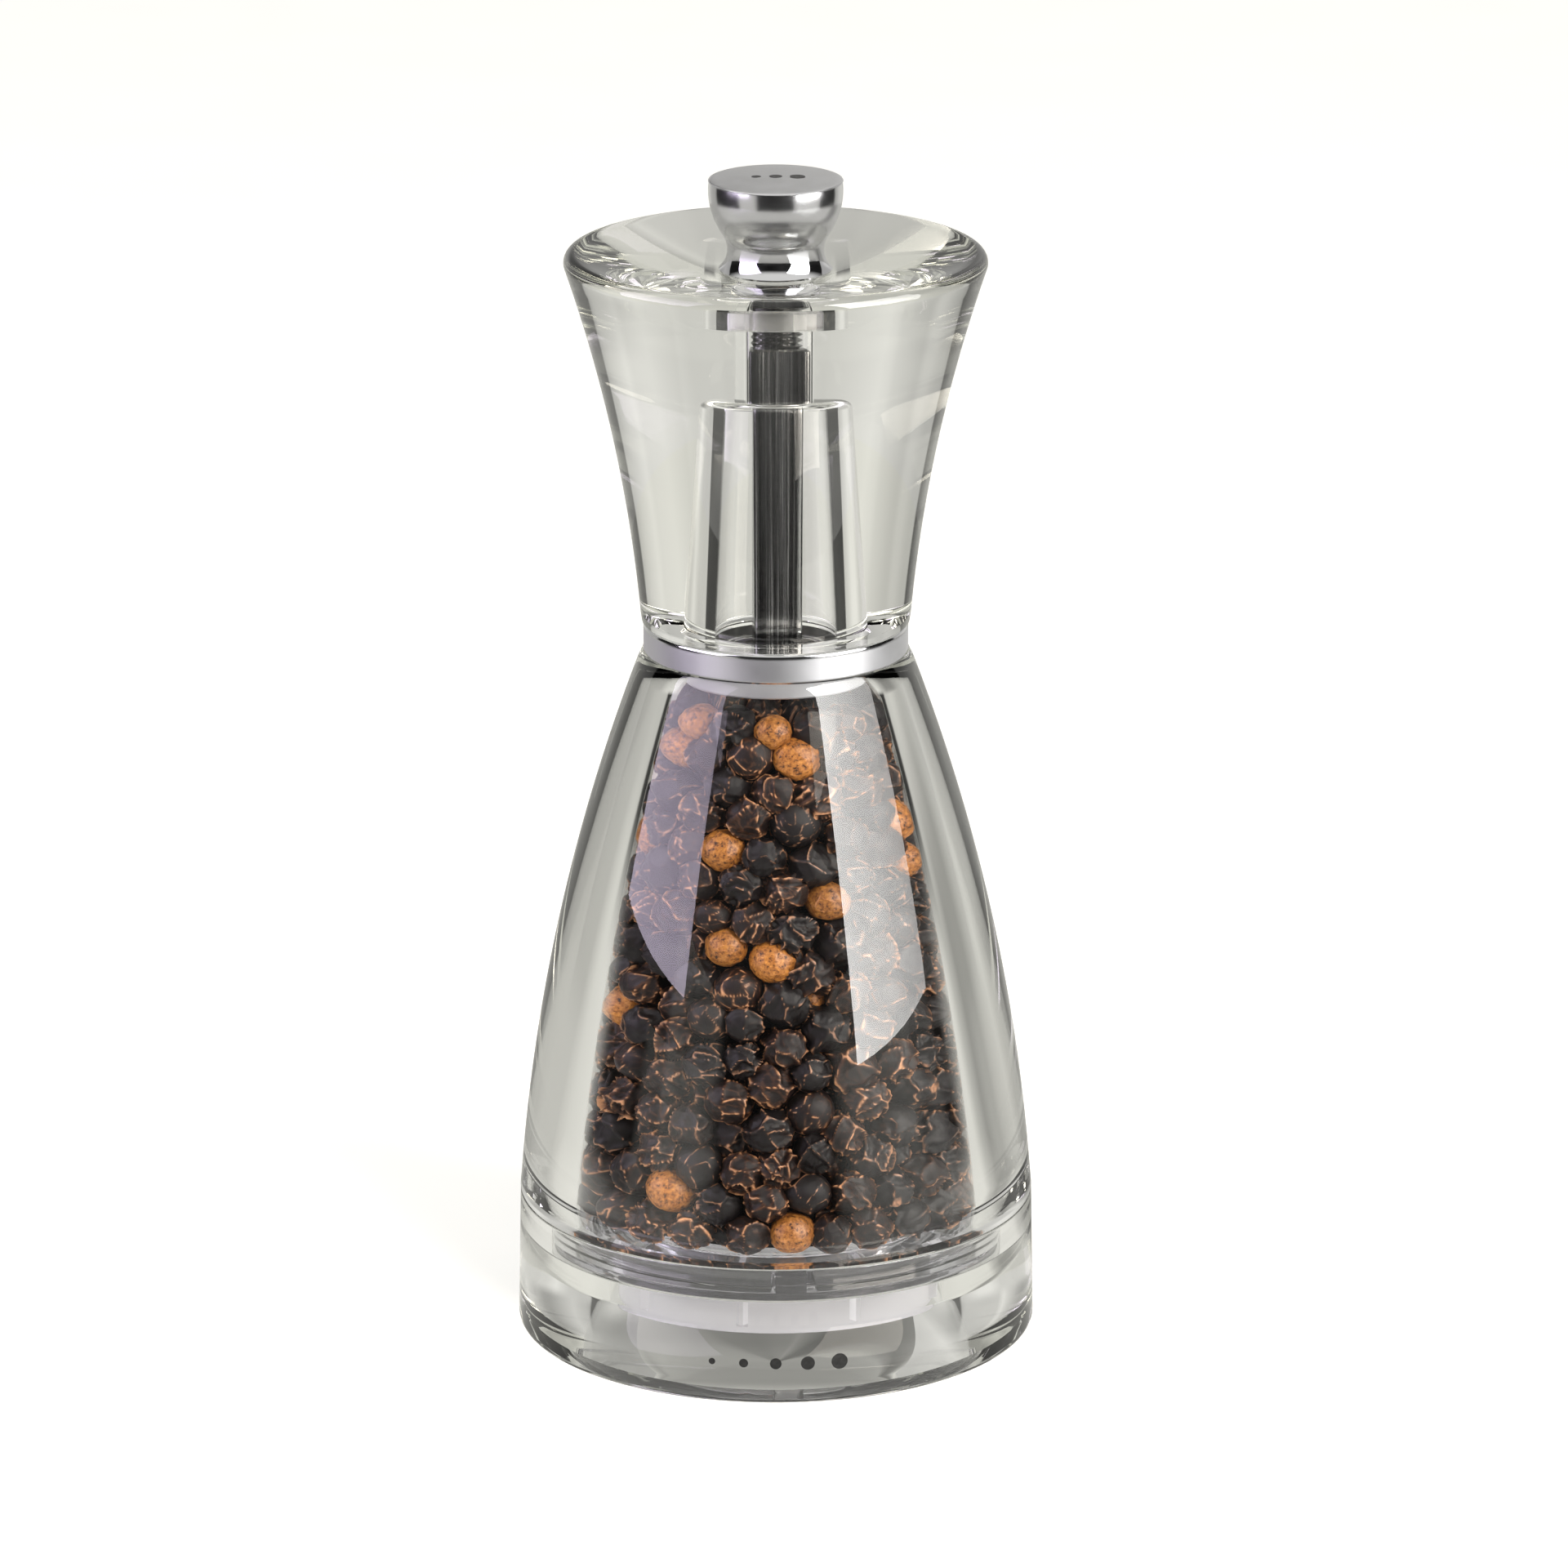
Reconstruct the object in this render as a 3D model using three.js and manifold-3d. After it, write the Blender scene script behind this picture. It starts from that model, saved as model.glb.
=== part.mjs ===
// A small table pepper mill: clear acrylic body, foot and cap, a chromed neck collar and knob, and a steel grinding
// mechanism on a square aluminium spindle. Millimetres, +Z up, origin at the middle of the foot's resting face.
import * as THREE from "three";
import { mergeVertices } from "three/addons/utils/BufferGeometryUtils.js";
import Module from "manifold-3d";

const wasm = await Module();
wasm.setup();

// ---------------------------------------------------------------- driving dimensions
const HEIGHT = 125; // foot to the knob's top
const FOOT_RADIUS = 27.6;
const NECK_RADIUS = 14.0;
const RIM_RADIUS = 22.0; // widest part of the cap
const SHAFT_SIDE = 4.76; // square spindle, 3/16 inch
const SHAFT_TURN = THREE.MathUtils.degToRad(8); // how far the square stands turned at rest
const THREAD_RADIUS = 2.0; // M4
const RUN_GAP = 0.1; // between pieces that turn or slide on each other
const SEAT_GAP = 0.1; // between pieces that rest or are bonded on each other
const WALL_LEAN = 0.3; // how far the foot's outer wall leans in by its top

// Levels along the axis, from the table up.
const Z = {
  outlet: 5.2, // underside of the mechanism
  burrSeat: 9.6, // ledge in the carrier that holds the outer burr's rim
  shelf: 10.5, // ledge in the foot that carries the mechanism
  flangeTop: 11.4, // top of the carrier's flange, under the body's spigot
  floor: 14.1, // top of the carrier's collar and of the outer burr, the chamber's floor
  bodyFoot: 14.8, // joint line of body and foot
  innerBurrFoot: 6.85, // also where the spindle's square begins, above its round tail
  burrTip: 15.3, // top of the inner burr
  bridge: 24.5, // underside of the bridge's cross bar
  sleeve: 71.5, // lower end of the collar's sleeve
  bodyTop: 74.4,
  collarTop: 77.5,
  boreRoof: 104.5, // top of the cap's tapered bore
  squareEnd: 110.7, // where the spindle's square becomes the threaded stem
  bushSeat: 112.9, // floor of the bush's counterbore in the cap
  dish: 115, // the cap's flat middle, under the knob
  knobFoot: 115.1,
};

const LARGE = 40; // facets round a large piece
const SMALL = 24; // facets round a small one

// ---------------------------------------------------------------- materials
const acrylic = (tint) =>
  new THREE.MeshStandardMaterial({ color: tint, roughness: 0.05, metalness: 0, transparent: true, opacity: 0.4 });
const metal = (color, roughness) => new THREE.MeshStandardMaterial({ color, roughness, metalness: 1 });
const plastic = (color, roughness) => new THREE.MeshStandardMaterial({ color, roughness, metalness: 0 });

const clearAcrylic = acrylic(0xe9ebe4);
const chrome = metal(0xd4d4d6, 0.08);
const aluminium = metal(0xb9babd, 0.3);
const burrSteel = metal(0x55524f, 0.4);
const springSteel = metal(0x9a9a9c, 0.3);
const brass = metal(0xb8934a, 0.3);
const nylon = plastic(0xdcdedd, 0.45);
const pepper = plastic(0x3a2418, 0.85);

// ---------------------------------------------------------------- outlines and solids
const point = (r, z) => new THREE.Vector2(r, z);

// Points after a and up to b along a circular arc. A positive radius bulges to the right of the way from a to b.
function arc(a, b, radius, steps) {
  const way = b.clone().sub(a);
  const right = point(way.y, -way.x).normalize();
  const rise = Math.sqrt(radius * radius - way.lengthSq() / 4) * Math.sign(radius);
  const centre = a.clone().add(b).multiplyScalar(0.5).addScaledVector(right, -rise);
  const sweep = 2 * Math.asin(way.length() / 2 / radius);
  return Array.from({ length: steps }, (_, i) => a.clone().rotateAround(centre, (sweep * (i + 1)) / steps));
}

// An arc given by its centre, radius and two angles in degrees, both ends included.
function round(centre, radius, from, to, steps) {
  return Array.from({ length: steps + 1 }, (_, i) => {
    const angle = THREE.MathUtils.degToRad(from + ((to - from) * i) / steps);
    return point(centre.x + radius * Math.cos(angle), centre.y + radius * Math.sin(angle));
  });
}

// Turns an outline of (radius, height) points about +Z. The outline climbs on its outer side.
function lathe(outline, segments) {
  return new THREE.LatheGeometry(outline, segments).rotateX(Math.PI / 2);
}

// The same for a ring, whose outline closes on itself.
function ring(outline, segments) {
  return lathe([...outline, outline[0]], segments);
}

// A plain ring with square edges.
function washer(inner, outer, bottom, top, segments) {
  return ring([point(outer, bottom), point(outer, top), point(inner, top), point(inner, bottom)], segments);
}

// A disc or stepped solid whose outline starts and ends on the axis.
function turned(outline, segments) {
  const first = outline[0];
  const last = outline[outline.length - 1];
  return lathe([point(0, first.y), ...outline, point(0, last.y)], segments);
}

function squareBar(side, bottom, top) {
  return new THREE.BoxGeometry(side, side, top - bottom).translate(0, 0, (bottom + top) / 2).rotateZ(SHAFT_TURN);
}

function box(width, depth, bottom, top) {
  return new THREE.BoxGeometry(width, depth, top - bottom).translate(0, 0, (bottom + top) / 2);
}

function toSolid(geometry) {
  const bare = geometry.clone();
  bare.deleteAttribute("normal");
  bare.deleteAttribute("uv");
  const merged = mergeVertices(bare, 1e-4);
  const triangles = [];
  for (let i = 0; i < merged.index.count; i += 3) {
    const [a, b, c] = [0, 1, 2].map((k) => merged.index.getX(i + k));
    if (a !== b && b !== c && c !== a) triangles.push(a, b, c);
  }
  return new wasm.Manifold(
    new wasm.Mesh({
      numProp: 3,
      vertProperties: merged.attributes.position.array,
      triVerts: new Uint32Array(triangles),
    }),
  );
}

function toGeometry(solid) {
  const mesh = solid.getMesh();
  const geometry = new THREE.BufferGeometry();
  geometry.setAttribute("position", new THREE.BufferAttribute(mesh.vertProperties, 3));
  geometry.setIndex(new THREE.BufferAttribute(mesh.triVerts, 1));
  geometry.computeVertexNormals();
  return geometry;
}

function cut(geometry, ...tools) {
  return toGeometry(tools.reduce((left, tool) => left.subtract(toSolid(tool)), toSolid(geometry)));
}

function join(geometry, ...others) {
  return toGeometry(others.reduce((whole, other) => whole.add(toSolid(other)), toSolid(geometry)));
}

// Raises sloping teeth on a turned surface: every vertex that picks() accepts moves in or out by up to depth.
function teeth(geometry, { count, depth, twist, picks }) {
  const position = geometry.attributes.position;
  const v = new THREE.Vector3();
  for (let i = 0; i < position.count; i++) {
    v.fromBufferAttribute(position, i);
    const radius = Math.hypot(v.x, v.y);
    if (!picks(radius, v.z)) continue;
    const turn = Math.atan2(v.y, v.x) / (2 * Math.PI) + 1 + twist * v.z;
    const phase = (((turn * count) % 1) + 1) % 1;
    const moved = radius + depth * Math.abs(2 * phase - 1);
    position.setXY(i, (v.x / radius) * moved, (v.y / radius) * moved);
  }
  return geometry;
}

const group = new THREE.Group();

function add(name, geometry, material) {
  const mesh = new THREE.Mesh(geometry, material);
  mesh.name = name;
  group.add(mesh);
  return mesh;
}

// ---------------------------------------------------------------- foot
const SOCKET_RADIUS = 24.2; // takes the body's spigot and the carrier's flange
const OUTLET_RADIUS = 18.0; // the foot's inside, round the mechanism
const OUTLET_FOOT_RADIUS = 20.9; // and where its flare meets the table
const OUTLET_FLARE_TOP = 6.4;
const OUTLET_FLARE_CURVE = 16;
const FOOT_EDGE = 0.7; // rounding of the foot's lower edge

function baseRing() {
  const lower = point(FOOT_RADIUS - FOOT_EDGE, FOOT_EDGE);
  const top = FOOT_RADIUS - WALL_LEAN;
  const flareTop = point(OUTLET_RADIUS, OUTLET_FLARE_TOP);
  return ring(
    [
      ...round(lower, FOOT_EDGE, -90, 0, 3),
      point(top, Z.bodyFoot),
      point(SOCKET_RADIUS, Z.bodyFoot),
      point(SOCKET_RADIUS, Z.shelf),
      point(OUTLET_RADIUS, Z.shelf),
      flareTop,
      ...arc(flareTop, point(OUTLET_FOOT_RADIUS, 0), OUTLET_FLARE_CURVE, 4),
    ],
    LARGE,
  );
}
add("base_ring", baseRing(), clearAcrylic);

// ---------------------------------------------------------------- body
const SPIGOT_RADIUS = SOCKET_RADIUS - 0.2;
const CHAMBER_FOOT_RADIUS = 21.2;
const MOUTH_RADIUS = 10.5;
const BODY_CURVE = 209; // radius of the body's outer outline
const CHAMBER_CURVE = 308; // radius of the chamber's outline
const KEY_WIDTH = 3.6;
const KEY_TURNS = [4, 124, 244].map((degrees) => THREE.MathUtils.degToRad(degrees - 90));
const KEY_TOP = 13.7;
const KEY_NOTCH_GAP = 0.2;
const COLLAR_GAP = 0.2; // between the carrier's collar and the chamber's foot

const chamberWall = arc(point(MOUTH_RADIUS, Z.sleeve), point(CHAMBER_FOOT_RADIUS, Z.bodyFoot), -CHAMBER_CURVE, 8);

// Blocks of the carrier's keys, one for each angle, grown by a gap when they cut the body's notches.
function keys(gap) {
  const inner = CHAMBER_FOOT_RADIUS - 1;
  const outer = SPIGOT_RADIUS - 0.2 + 4 * gap;
  const bottom = Z.flangeTop - 0.4;
  return KEY_TURNS.map((turn) =>
    box(outer - inner, KEY_WIDTH + 2 * gap, bottom, KEY_TOP + gap)
      .translate((inner + outer) / 2, 0, 0)
      .rotateZ(turn),
  );
}

function bodyShell() {
  const shoulder = point(FOOT_RADIUS - WALL_LEAN, Z.bodyFoot + SEAT_GAP);
  const neck = point(NECK_RADIUS + 0.1, Z.bodyTop);
  const shell = ring(
    [
      point(SPIGOT_RADIUS, Z.flangeTop + SEAT_GAP),
      point(SPIGOT_RADIUS, shoulder.y),
      shoulder,
      ...arc(shoulder, neck, BODY_CURVE, 10),
      point(MOUTH_RADIUS, Z.bodyTop),
      point(MOUTH_RADIUS, Z.sleeve),
      ...chamberWall,
      point(CHAMBER_FOOT_RADIUS, Z.flangeTop + SEAT_GAP),
    ],
    LARGE,
  );
  return cut(shell, ...keys(KEY_NOTCH_GAP));
}
add("body_shell", bodyShell(), clearAcrylic);

// ---------------------------------------------------------------- neck collar
const COLLAR_RADIUS = NECK_RADIUS - 0.1;
const COLLAR_BORE = 9.3;
const SHOULDER_ROUND = 0.7;

function neckCollar() {
  const shoulder = point(COLLAR_RADIUS - SHOULDER_ROUND, Z.collarTop - SHOULDER_ROUND);
  const ledge = Z.bodyTop + SEAT_GAP;
  return ring(
    [
      point(MOUTH_RADIUS - SEAT_GAP, Z.sleeve),
      point(MOUTH_RADIUS - SEAT_GAP, ledge),
      point(COLLAR_RADIUS, ledge),
      ...round(shoulder, SHOULDER_ROUND, 0, 90, 3),
      point(COLLAR_BORE, Z.collarTop),
      point(COLLAR_BORE, Z.sleeve),
    ],
    LARGE,
  );
}
add("neck_collar", neckCollar(), chrome);

// ---------------------------------------------------------------- mechanism held by the foot
const CARRIER_RADIUS = SOCKET_RADIUS - 0.3;
const CUP_RADIUS = 17.0;
const CUP_BORE = 15.5;
const BURR_RIM_RADIUS = 16.6;
const RIB_COUNT = 10;
const RIB_WIDTH = 0.9;
const RIB_HEIGHT = 0.5;
const RIB_START = 0.6; // above the cup's lower edge
const RIB_TURN = THREE.MathUtils.degToRad(-100.5);

function burrCarrier() {
  const collar = CHAMBER_FOOT_RADIUS - COLLAR_GAP;
  const cup = ring(
    [
      point(CUP_RADIUS - 0.4, Z.outlet),
      point(CUP_RADIUS, Z.outlet + 0.4),
      point(CUP_RADIUS, Z.shelf + SEAT_GAP),
      point(CARRIER_RADIUS, Z.shelf + SEAT_GAP),
      point(CARRIER_RADIUS, Z.flangeTop),
      point(collar, Z.flangeTop),
      point(collar, Z.floor),
      point(BURR_RIM_RADIUS + SEAT_GAP, Z.floor),
      point(BURR_RIM_RADIUS + SEAT_GAP, Z.burrSeat),
      point(CUP_BORE, Z.burrSeat),
      point(CUP_BORE, Z.outlet),
    ],
    LARGE,
  );
  const ribs = Array.from({ length: RIB_COUNT }, (_, i) =>
    box(2 * RIB_HEIGHT, RIB_WIDTH, Z.outlet + RIB_START, Z.shelf + 0.4)
      .translate(CUP_RADIUS + RIB_HEIGHT / 2, 0, 0)
      .rotateZ(RIB_TURN + (i * 2 * Math.PI) / RIB_COUNT),
  );
  return join(cup, ...ribs, ...keys(0));
}
add("burr_carrier", burrCarrier(), nylon);

const OUTER_BURR_RADIUS = 13.2;
const FUNNEL_RADIUS = 12.2;
const THROAT_RADIUS = 9.8; // tips of the outer burr's teeth, at the top of the grinding zone
const BURR_FOOT_RADIUS = 8.6; // and at the bottom
const THROAT_HEIGHT = 9.8;
const FUNNEL_LIP = 0.9; // bevel round the funnel's upper edge
const TOOTH_DEPTH = 0.7;

function outerBurr() {
  const bottom = Z.outlet + 0.5;
  const rimFoot = Z.burrSeat + SEAT_GAP;
  const burr = ring(
    [
      point(OUTER_BURR_RADIUS, bottom),
      point(OUTER_BURR_RADIUS, rimFoot),
      point(BURR_RIM_RADIUS, rimFoot),
      point(BURR_RIM_RADIUS, Z.floor),
      point(FUNNEL_RADIUS + FUNNEL_LIP, Z.floor),
      point(FUNNEL_RADIUS, Z.floor - 1),
      point(THROAT_RADIUS, THROAT_HEIGHT),
      point(BURR_FOOT_RADIUS, bottom),
    ],
    64,
  );
  return teeth(burr, {
    count: 16,
    depth: TOOTH_DEPTH,
    twist: 0.012,
    picks: (radius) => radius < THROAT_RADIUS + 0.1,
  });
}
add("outer_burr", outerBurr(), burrSteel);

// A strap over the outer burr that steadies the spindle and backs the spring.
const BRIDGE_WIDTH = 6;
const BRIDGE_THICKNESS = 1;
const BRIDGE_LEG_SLANT = 0.45; // brings the slanted legs to the strap's thickness
const BRIDGE_HALF_TOP = 7;
const BRIDGE_EYE_RADIUS = 6.3; // the bar widens round the bush
const BRIDGE_HALF_FOOT = 12.6;
const BRIDGE_REACH = 16.4;
const SCREW_X = 14.8;
const SCREW_RADIUS = 1.0;
const HUB_RADIUS = 3.95; // of the shaft bush's barrel
const BRIDGE_FOOT = Z.floor + SEAT_GAP;

function bridge() {
  const over = [
    [-BRIDGE_REACH, BRIDGE_FOOT],
    [-BRIDGE_HALF_FOOT, BRIDGE_FOOT],
    [-BRIDGE_HALF_TOP, Z.bridge],
    [BRIDGE_HALF_TOP, Z.bridge],
    [BRIDGE_HALF_FOOT, BRIDGE_FOOT],
    [BRIDGE_REACH, BRIDGE_FOOT],
  ];
  const shape = new THREE.Shape();
  over.forEach(([x, z], i) => (i ? shape.lineTo(x, z) : shape.moveTo(x, z)));
  [...over].reverse().forEach(([x, z]) => {
    const outward = Math.abs(x) === BRIDGE_REACH ? 0 : Math.sign(x) * BRIDGE_LEG_SLANT;
    shape.lineTo(x + outward, z + BRIDGE_THICKNESS);
  });
  const strap = new THREE.ExtrudeGeometry(shape, { depth: BRIDGE_WIDTH, bevelEnabled: false })
    .rotateX(Math.PI / 2)
    .translate(0, BRIDGE_WIDTH / 2, 0);
  const eye = turned([point(BRIDGE_EYE_RADIUS, Z.bridge), point(BRIDGE_EYE_RADIUS, Z.bridge + BRIDGE_THICKNESS)], SMALL);
  const hole = turned([point(HUB_RADIUS + RUN_GAP, Z.bridge - 1), point(HUB_RADIUS + RUN_GAP, Z.bridge + 2)], SMALL);
  const screwHole = (x) =>
    turned([point(SCREW_RADIUS + RUN_GAP, BRIDGE_FOOT - 1), point(SCREW_RADIUS + RUN_GAP, BRIDGE_FOOT + 2)], 16)
      .translate(x, 0, 0);
  return cut(join(strap, eye), hole, screwHole(-SCREW_X), screwHole(SCREW_X));
}
add("bridge", bridge(), springSteel);

// The strap's two screws. Each ends just above the burr's flange hole, which is left out with its thread.
const SCREW_HEAD_RADIUS = 1.55;
const SCREW_HEAD = 0.9;
const SCREW_SLOT = 0.5;
const SCREW_GAP = 0.02; // the heads sit all but on the strap

function bridgeScrew() {
  const seat = BRIDGE_FOOT + BRIDGE_THICKNESS + SCREW_GAP;
  return cut(
    turned(
      [
        point(SCREW_RADIUS, BRIDGE_FOOT + SCREW_GAP),
        point(SCREW_RADIUS, seat),
        point(SCREW_HEAD_RADIUS, seat),
        point(SCREW_HEAD_RADIUS, seat + SCREW_HEAD - 0.3),
        point(SCREW_HEAD_RADIUS - 0.5, seat + SCREW_HEAD),
      ],
      16,
    ),
    box(2.2 * SCREW_HEAD_RADIUS, SCREW_SLOT, seat + SCREW_HEAD - 0.4, seat + SCREW_HEAD + 1),
  );
}
[["bridge_screw_left", -SCREW_X], ["bridge_screw_right", SCREW_X]].forEach(([name, x]) => {
  add(name, bridgeScrew(), springSteel).position.x = x;
});

// ---------------------------------------------------------------- shaft bush and spring
const BUSH_FLANGE_RADIUS = 5.2;
const BUSH_FLANGE = 0.8;
const SQUARE_HOLE = SHAFT_SIDE + 2 * RUN_GAP;

function shaftBush() {
  const seat = Z.bridge - SEAT_GAP;
  return cut(
    turned(
      [
        point(BUSH_FLANGE_RADIUS, seat - BUSH_FLANGE),
        point(BUSH_FLANGE_RADIUS, seat),
        point(HUB_RADIUS, seat),
        point(HUB_RADIUS, Z.bridge + 1.9),
      ],
      SMALL,
    ),
    squareBar(SQUARE_HOLE, Z.bridge - 2, Z.bridge + 3),
  );
}
add("shaft_bush", shaftBush(), nylon);

const WIRE_RADIUS = 0.4;
const COIL_RADIUS = 4.5;
const COILS = 4.5;
const WASHER_RADIUS = 5.3;
const WASHER_THICKNESS = 0.7;
const SPRING_FOOT = Z.burrTip + SEAT_GAP + WASHER_THICKNESS + 0.1;
const SPRING_TOP = Z.bridge - SEAT_GAP - BUSH_FLANGE - 0.1;

class Helix extends THREE.Curve {
  getPoint(t, target = new THREE.Vector3()) {
    const angle = t * COILS * 2 * Math.PI;
    const low = SPRING_FOOT + WIRE_RADIUS;
    const high = SPRING_TOP - WIRE_RADIUS;
    return target.set(COIL_RADIUS * Math.cos(angle), COIL_RADIUS * Math.sin(angle), low + t * (high - low));
  }
}

function spring() {
  const section = new THREE.Shape(
    Array.from({ length: 6 }, (_, i) => point(WIRE_RADIUS, 0).rotateAround(point(0, 0), (i * Math.PI) / 3)),
  );
  return new THREE.ExtrudeGeometry(section, { steps: 14 * COILS, extrudePath: new Helix(), bevelEnabled: false });
}
add("spring", spring(), springSteel);

// ---------------------------------------------------------------- spindle and what turns and rises with it
const TAIL_RADIUS = 1.9;
const STEM_TOP = 120.5;

function spindle() {
  const stem = turned(
    [
      point(THREAD_RADIUS, Z.squareEnd - 1),
      point(THREAD_RADIUS, STEM_TOP - 0.4),
      point(THREAD_RADIUS - 0.4, STEM_TOP),
    ],
    24,
  );
  const tail = turned([point(TAIL_RADIUS, Z.outlet + 0.1), point(TAIL_RADIUS, Z.innerBurrFoot + 1)], 24);
  return join(squareBar(SHAFT_SIDE, Z.innerBurrFoot, Z.squareEnd), stem, tail);
}
add("spindle", spindle(), aluminium);

function innerBurr() {
  const cone = turned(
    [
      point(6.5, Z.innerBurrFoot),
      point(6.8, Z.innerBurrFoot + 0.4),
      point(6.2, 8.6),
      point(4.6, 12),
      point(4.0, Z.burrTip - 0.6),
      point(3.9, Z.burrTip),
    ],
    LARGE,
  );
  const toothed = teeth(cone, {
    count: 12,
    depth: TOOTH_DEPTH,
    twist: -0.02,
    picks: (radius, z) => radius > 4.2 && z > Z.innerBurrFoot + 0.1,
  });
  return cut(toothed, squareBar(SHAFT_SIDE + RUN_GAP, 0, Z.burrTip + 5));
}
add("inner_burr", innerBurr(), burrSteel);

function springWasher() {
  const seat = Z.burrTip + SEAT_GAP;
  return cut(
    turned([point(WASHER_RADIUS, seat), point(WASHER_RADIUS, seat + WASHER_THICKNESS)], SMALL),
    squareBar(SHAFT_SIDE + RUN_GAP, seat - 1, seat + 2),
  );
}
add("spring_washer", springWasher(), springSteel);

const CLIP_FOOT = Z.outlet + 0.35;
const CLIP_RADIUS = 3.5;
const CLIP_THICKNESS = 0.5;
const BURR_WASHER_RADIUS = 4.4;

function burrWasher() {
  const seat = CLIP_FOOT + CLIP_THICKNESS + SEAT_GAP;
  return washer(TAIL_RADIUS + 0.05, BURR_WASHER_RADIUS, seat, Z.innerBurrFoot - SEAT_GAP, 24);
}
add("burr_washer", burrWasher(), springSteel);

// A push-on ring with three relief slots.
function retainingClip() {
  const plate = washer(TAIL_RADIUS + 0.03, CLIP_RADIUS, CLIP_FOOT, CLIP_FOOT + CLIP_THICKNESS, 24);
  const slots = [0, 120, 240].map((degrees) =>
    box(0.9, 0.8, CLIP_FOOT - 1, CLIP_FOOT + 2)
      .translate(TAIL_RADIUS + 0.3, 0, 0)
      .rotateZ(THREE.MathUtils.degToRad(degrees)),
  );
  return cut(plate, ...slots);
}
add("retaining_clip", retainingClip(), springSteel);

// ---------------------------------------------------------------- peppercorn fill
const FILL_TOP = 68.5;
const WALL_GAP = 0.5;
const SPINDLE_ROOM = 4.1; // radius kept free round the spindle above the bridge
const BRIDGE_ROOM = 9.0; // and round the bridge's bar
const BRIDGE_FEET_ROOM = 17.4; // and round the strap's feet

// Closed outline of the loose fill: it follows the chamber and leaves room round the bridge and the spindle.
function peppercorns() {
  const wall = [...chamberWall]
    .reverse()
    .filter((p) => p.y > Z.bodyFoot + 1 && p.y < FILL_TOP - 1)
    .map((p) => point(p.x - WALL_GAP, p.y));
  const slope = (chamberWall[1].x - chamberWall[0].x) / (chamberWall[0].y - chamberWall[1].y);
  const crown = chamberWall[0].x + slope * (chamberWall[0].y - FILL_TOP) - WALL_GAP - 0.2;
  const bed = Z.floor + 0.4;
  return ring(
    [
      point(CHAMBER_FOOT_RADIUS - WALL_GAP, bed),
      ...wall,
      point(crown, FILL_TOP),
      point(SPINDLE_ROOM, FILL_TOP),
      point(SPINDLE_ROOM, Z.bridge + 4.5),
      point(BRIDGE_ROOM, Z.bridge + 2.5),
      point(BRIDGE_FEET_ROOM - 0.2, BRIDGE_FOOT + 2.6),
      point(BRIDGE_FEET_ROOM, bed),
    ],
    LARGE,
  );
}
add("peppercorns", peppercorns(), pepper);

// ---------------------------------------------------------------- cap
const CAP_SPIGOT_RADIUS = COLLAR_BORE - 0.25;
const CAP_SPIGOT_FOOT = 75.4;
const CAP_SPIGOT_BORE = 8.1;
const BORE_MOUTH = 77.3; // where the tapered bore opens into the spigot's wider bore
const BORE_MOUTH_RADIUS = 6.5;
const BORE_ROOF_RADIUS = 5.2;
const BORE_ROUND = 1.0;
const CAP_CURVE = 162; // radius of the cap's hollow outer outline
const RIM_ROUND = 1.1;
const RIM_TOP = 117.1;
const DISH_FLAT_RADIUS = 6.6;
const DISH_CURVE = 95;
const BUSH_RADIUS = 4.8;
const CORE_RADIUS = 1.5; // within the square hole, which takes this core away

function cap() {
  const foot = point(NECK_RADIUS + 0.1, Z.collarTop + SEAT_GAP);
  const rim = point(RIM_RADIUS - RIM_ROUND, RIM_TOP - RIM_ROUND);
  const rimRound = round(rim, RIM_ROUND, -18, 100, 5);
  const dishEdge = point(DISH_FLAT_RADIUS, Z.dish);
  const roof = point(BORE_ROOF_RADIUS - BORE_ROUND, Z.boreRoof - BORE_ROUND);
  const rimInside = rimRound[rimRound.length - 1];
  const body = ring(
    [
      point(CAP_SPIGOT_RADIUS, CAP_SPIGOT_FOOT),
      point(CAP_SPIGOT_RADIUS, foot.y),
      foot,
      ...arc(foot, rimRound[0], -CAP_CURVE, 9),
      ...rimRound.slice(1),
      ...arc(rimInside, dishEdge, -DISH_CURVE, 5),
      point(BUSH_RADIUS + RUN_GAP, Z.dish),
      point(BUSH_RADIUS + RUN_GAP, Z.bushSeat),
      point(CORE_RADIUS, Z.bushSeat),
      point(CORE_RADIUS, Z.boreRoof),
      ...round(roof, BORE_ROUND, 90, 4, 3),
      point(BORE_MOUTH_RADIUS, BORE_MOUTH),
      point(CAP_SPIGOT_BORE, BORE_MOUTH),
      point(CAP_SPIGOT_BORE, CAP_SPIGOT_FOOT),
    ],
    LARGE,
  );
  return cut(body, squareBar(SQUARE_HOLE, Z.boreRoof - 1, Z.bushSeat + 1));
}
add("cap", cap(), clearAcrylic);

add("knob_bush", washer(THREAD_RADIUS + 0.15, BUSH_RADIUS, Z.bushSeat + SEAT_GAP, Z.dish, SMALL), nylon);

// ---------------------------------------------------------------- knob
const KNOB_RADIUS = 7.0;
const KNOB_FOOT_RADIUS = 5.95;
const KNOB_WAIST_RADIUS = 5.2;
const KNOB_WAIST = 117.6;
const KNOB_EDGE = 0.45;
const INSERT_RADIUS = 3.2;
const INSERT_TOP = 121.5;

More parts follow.
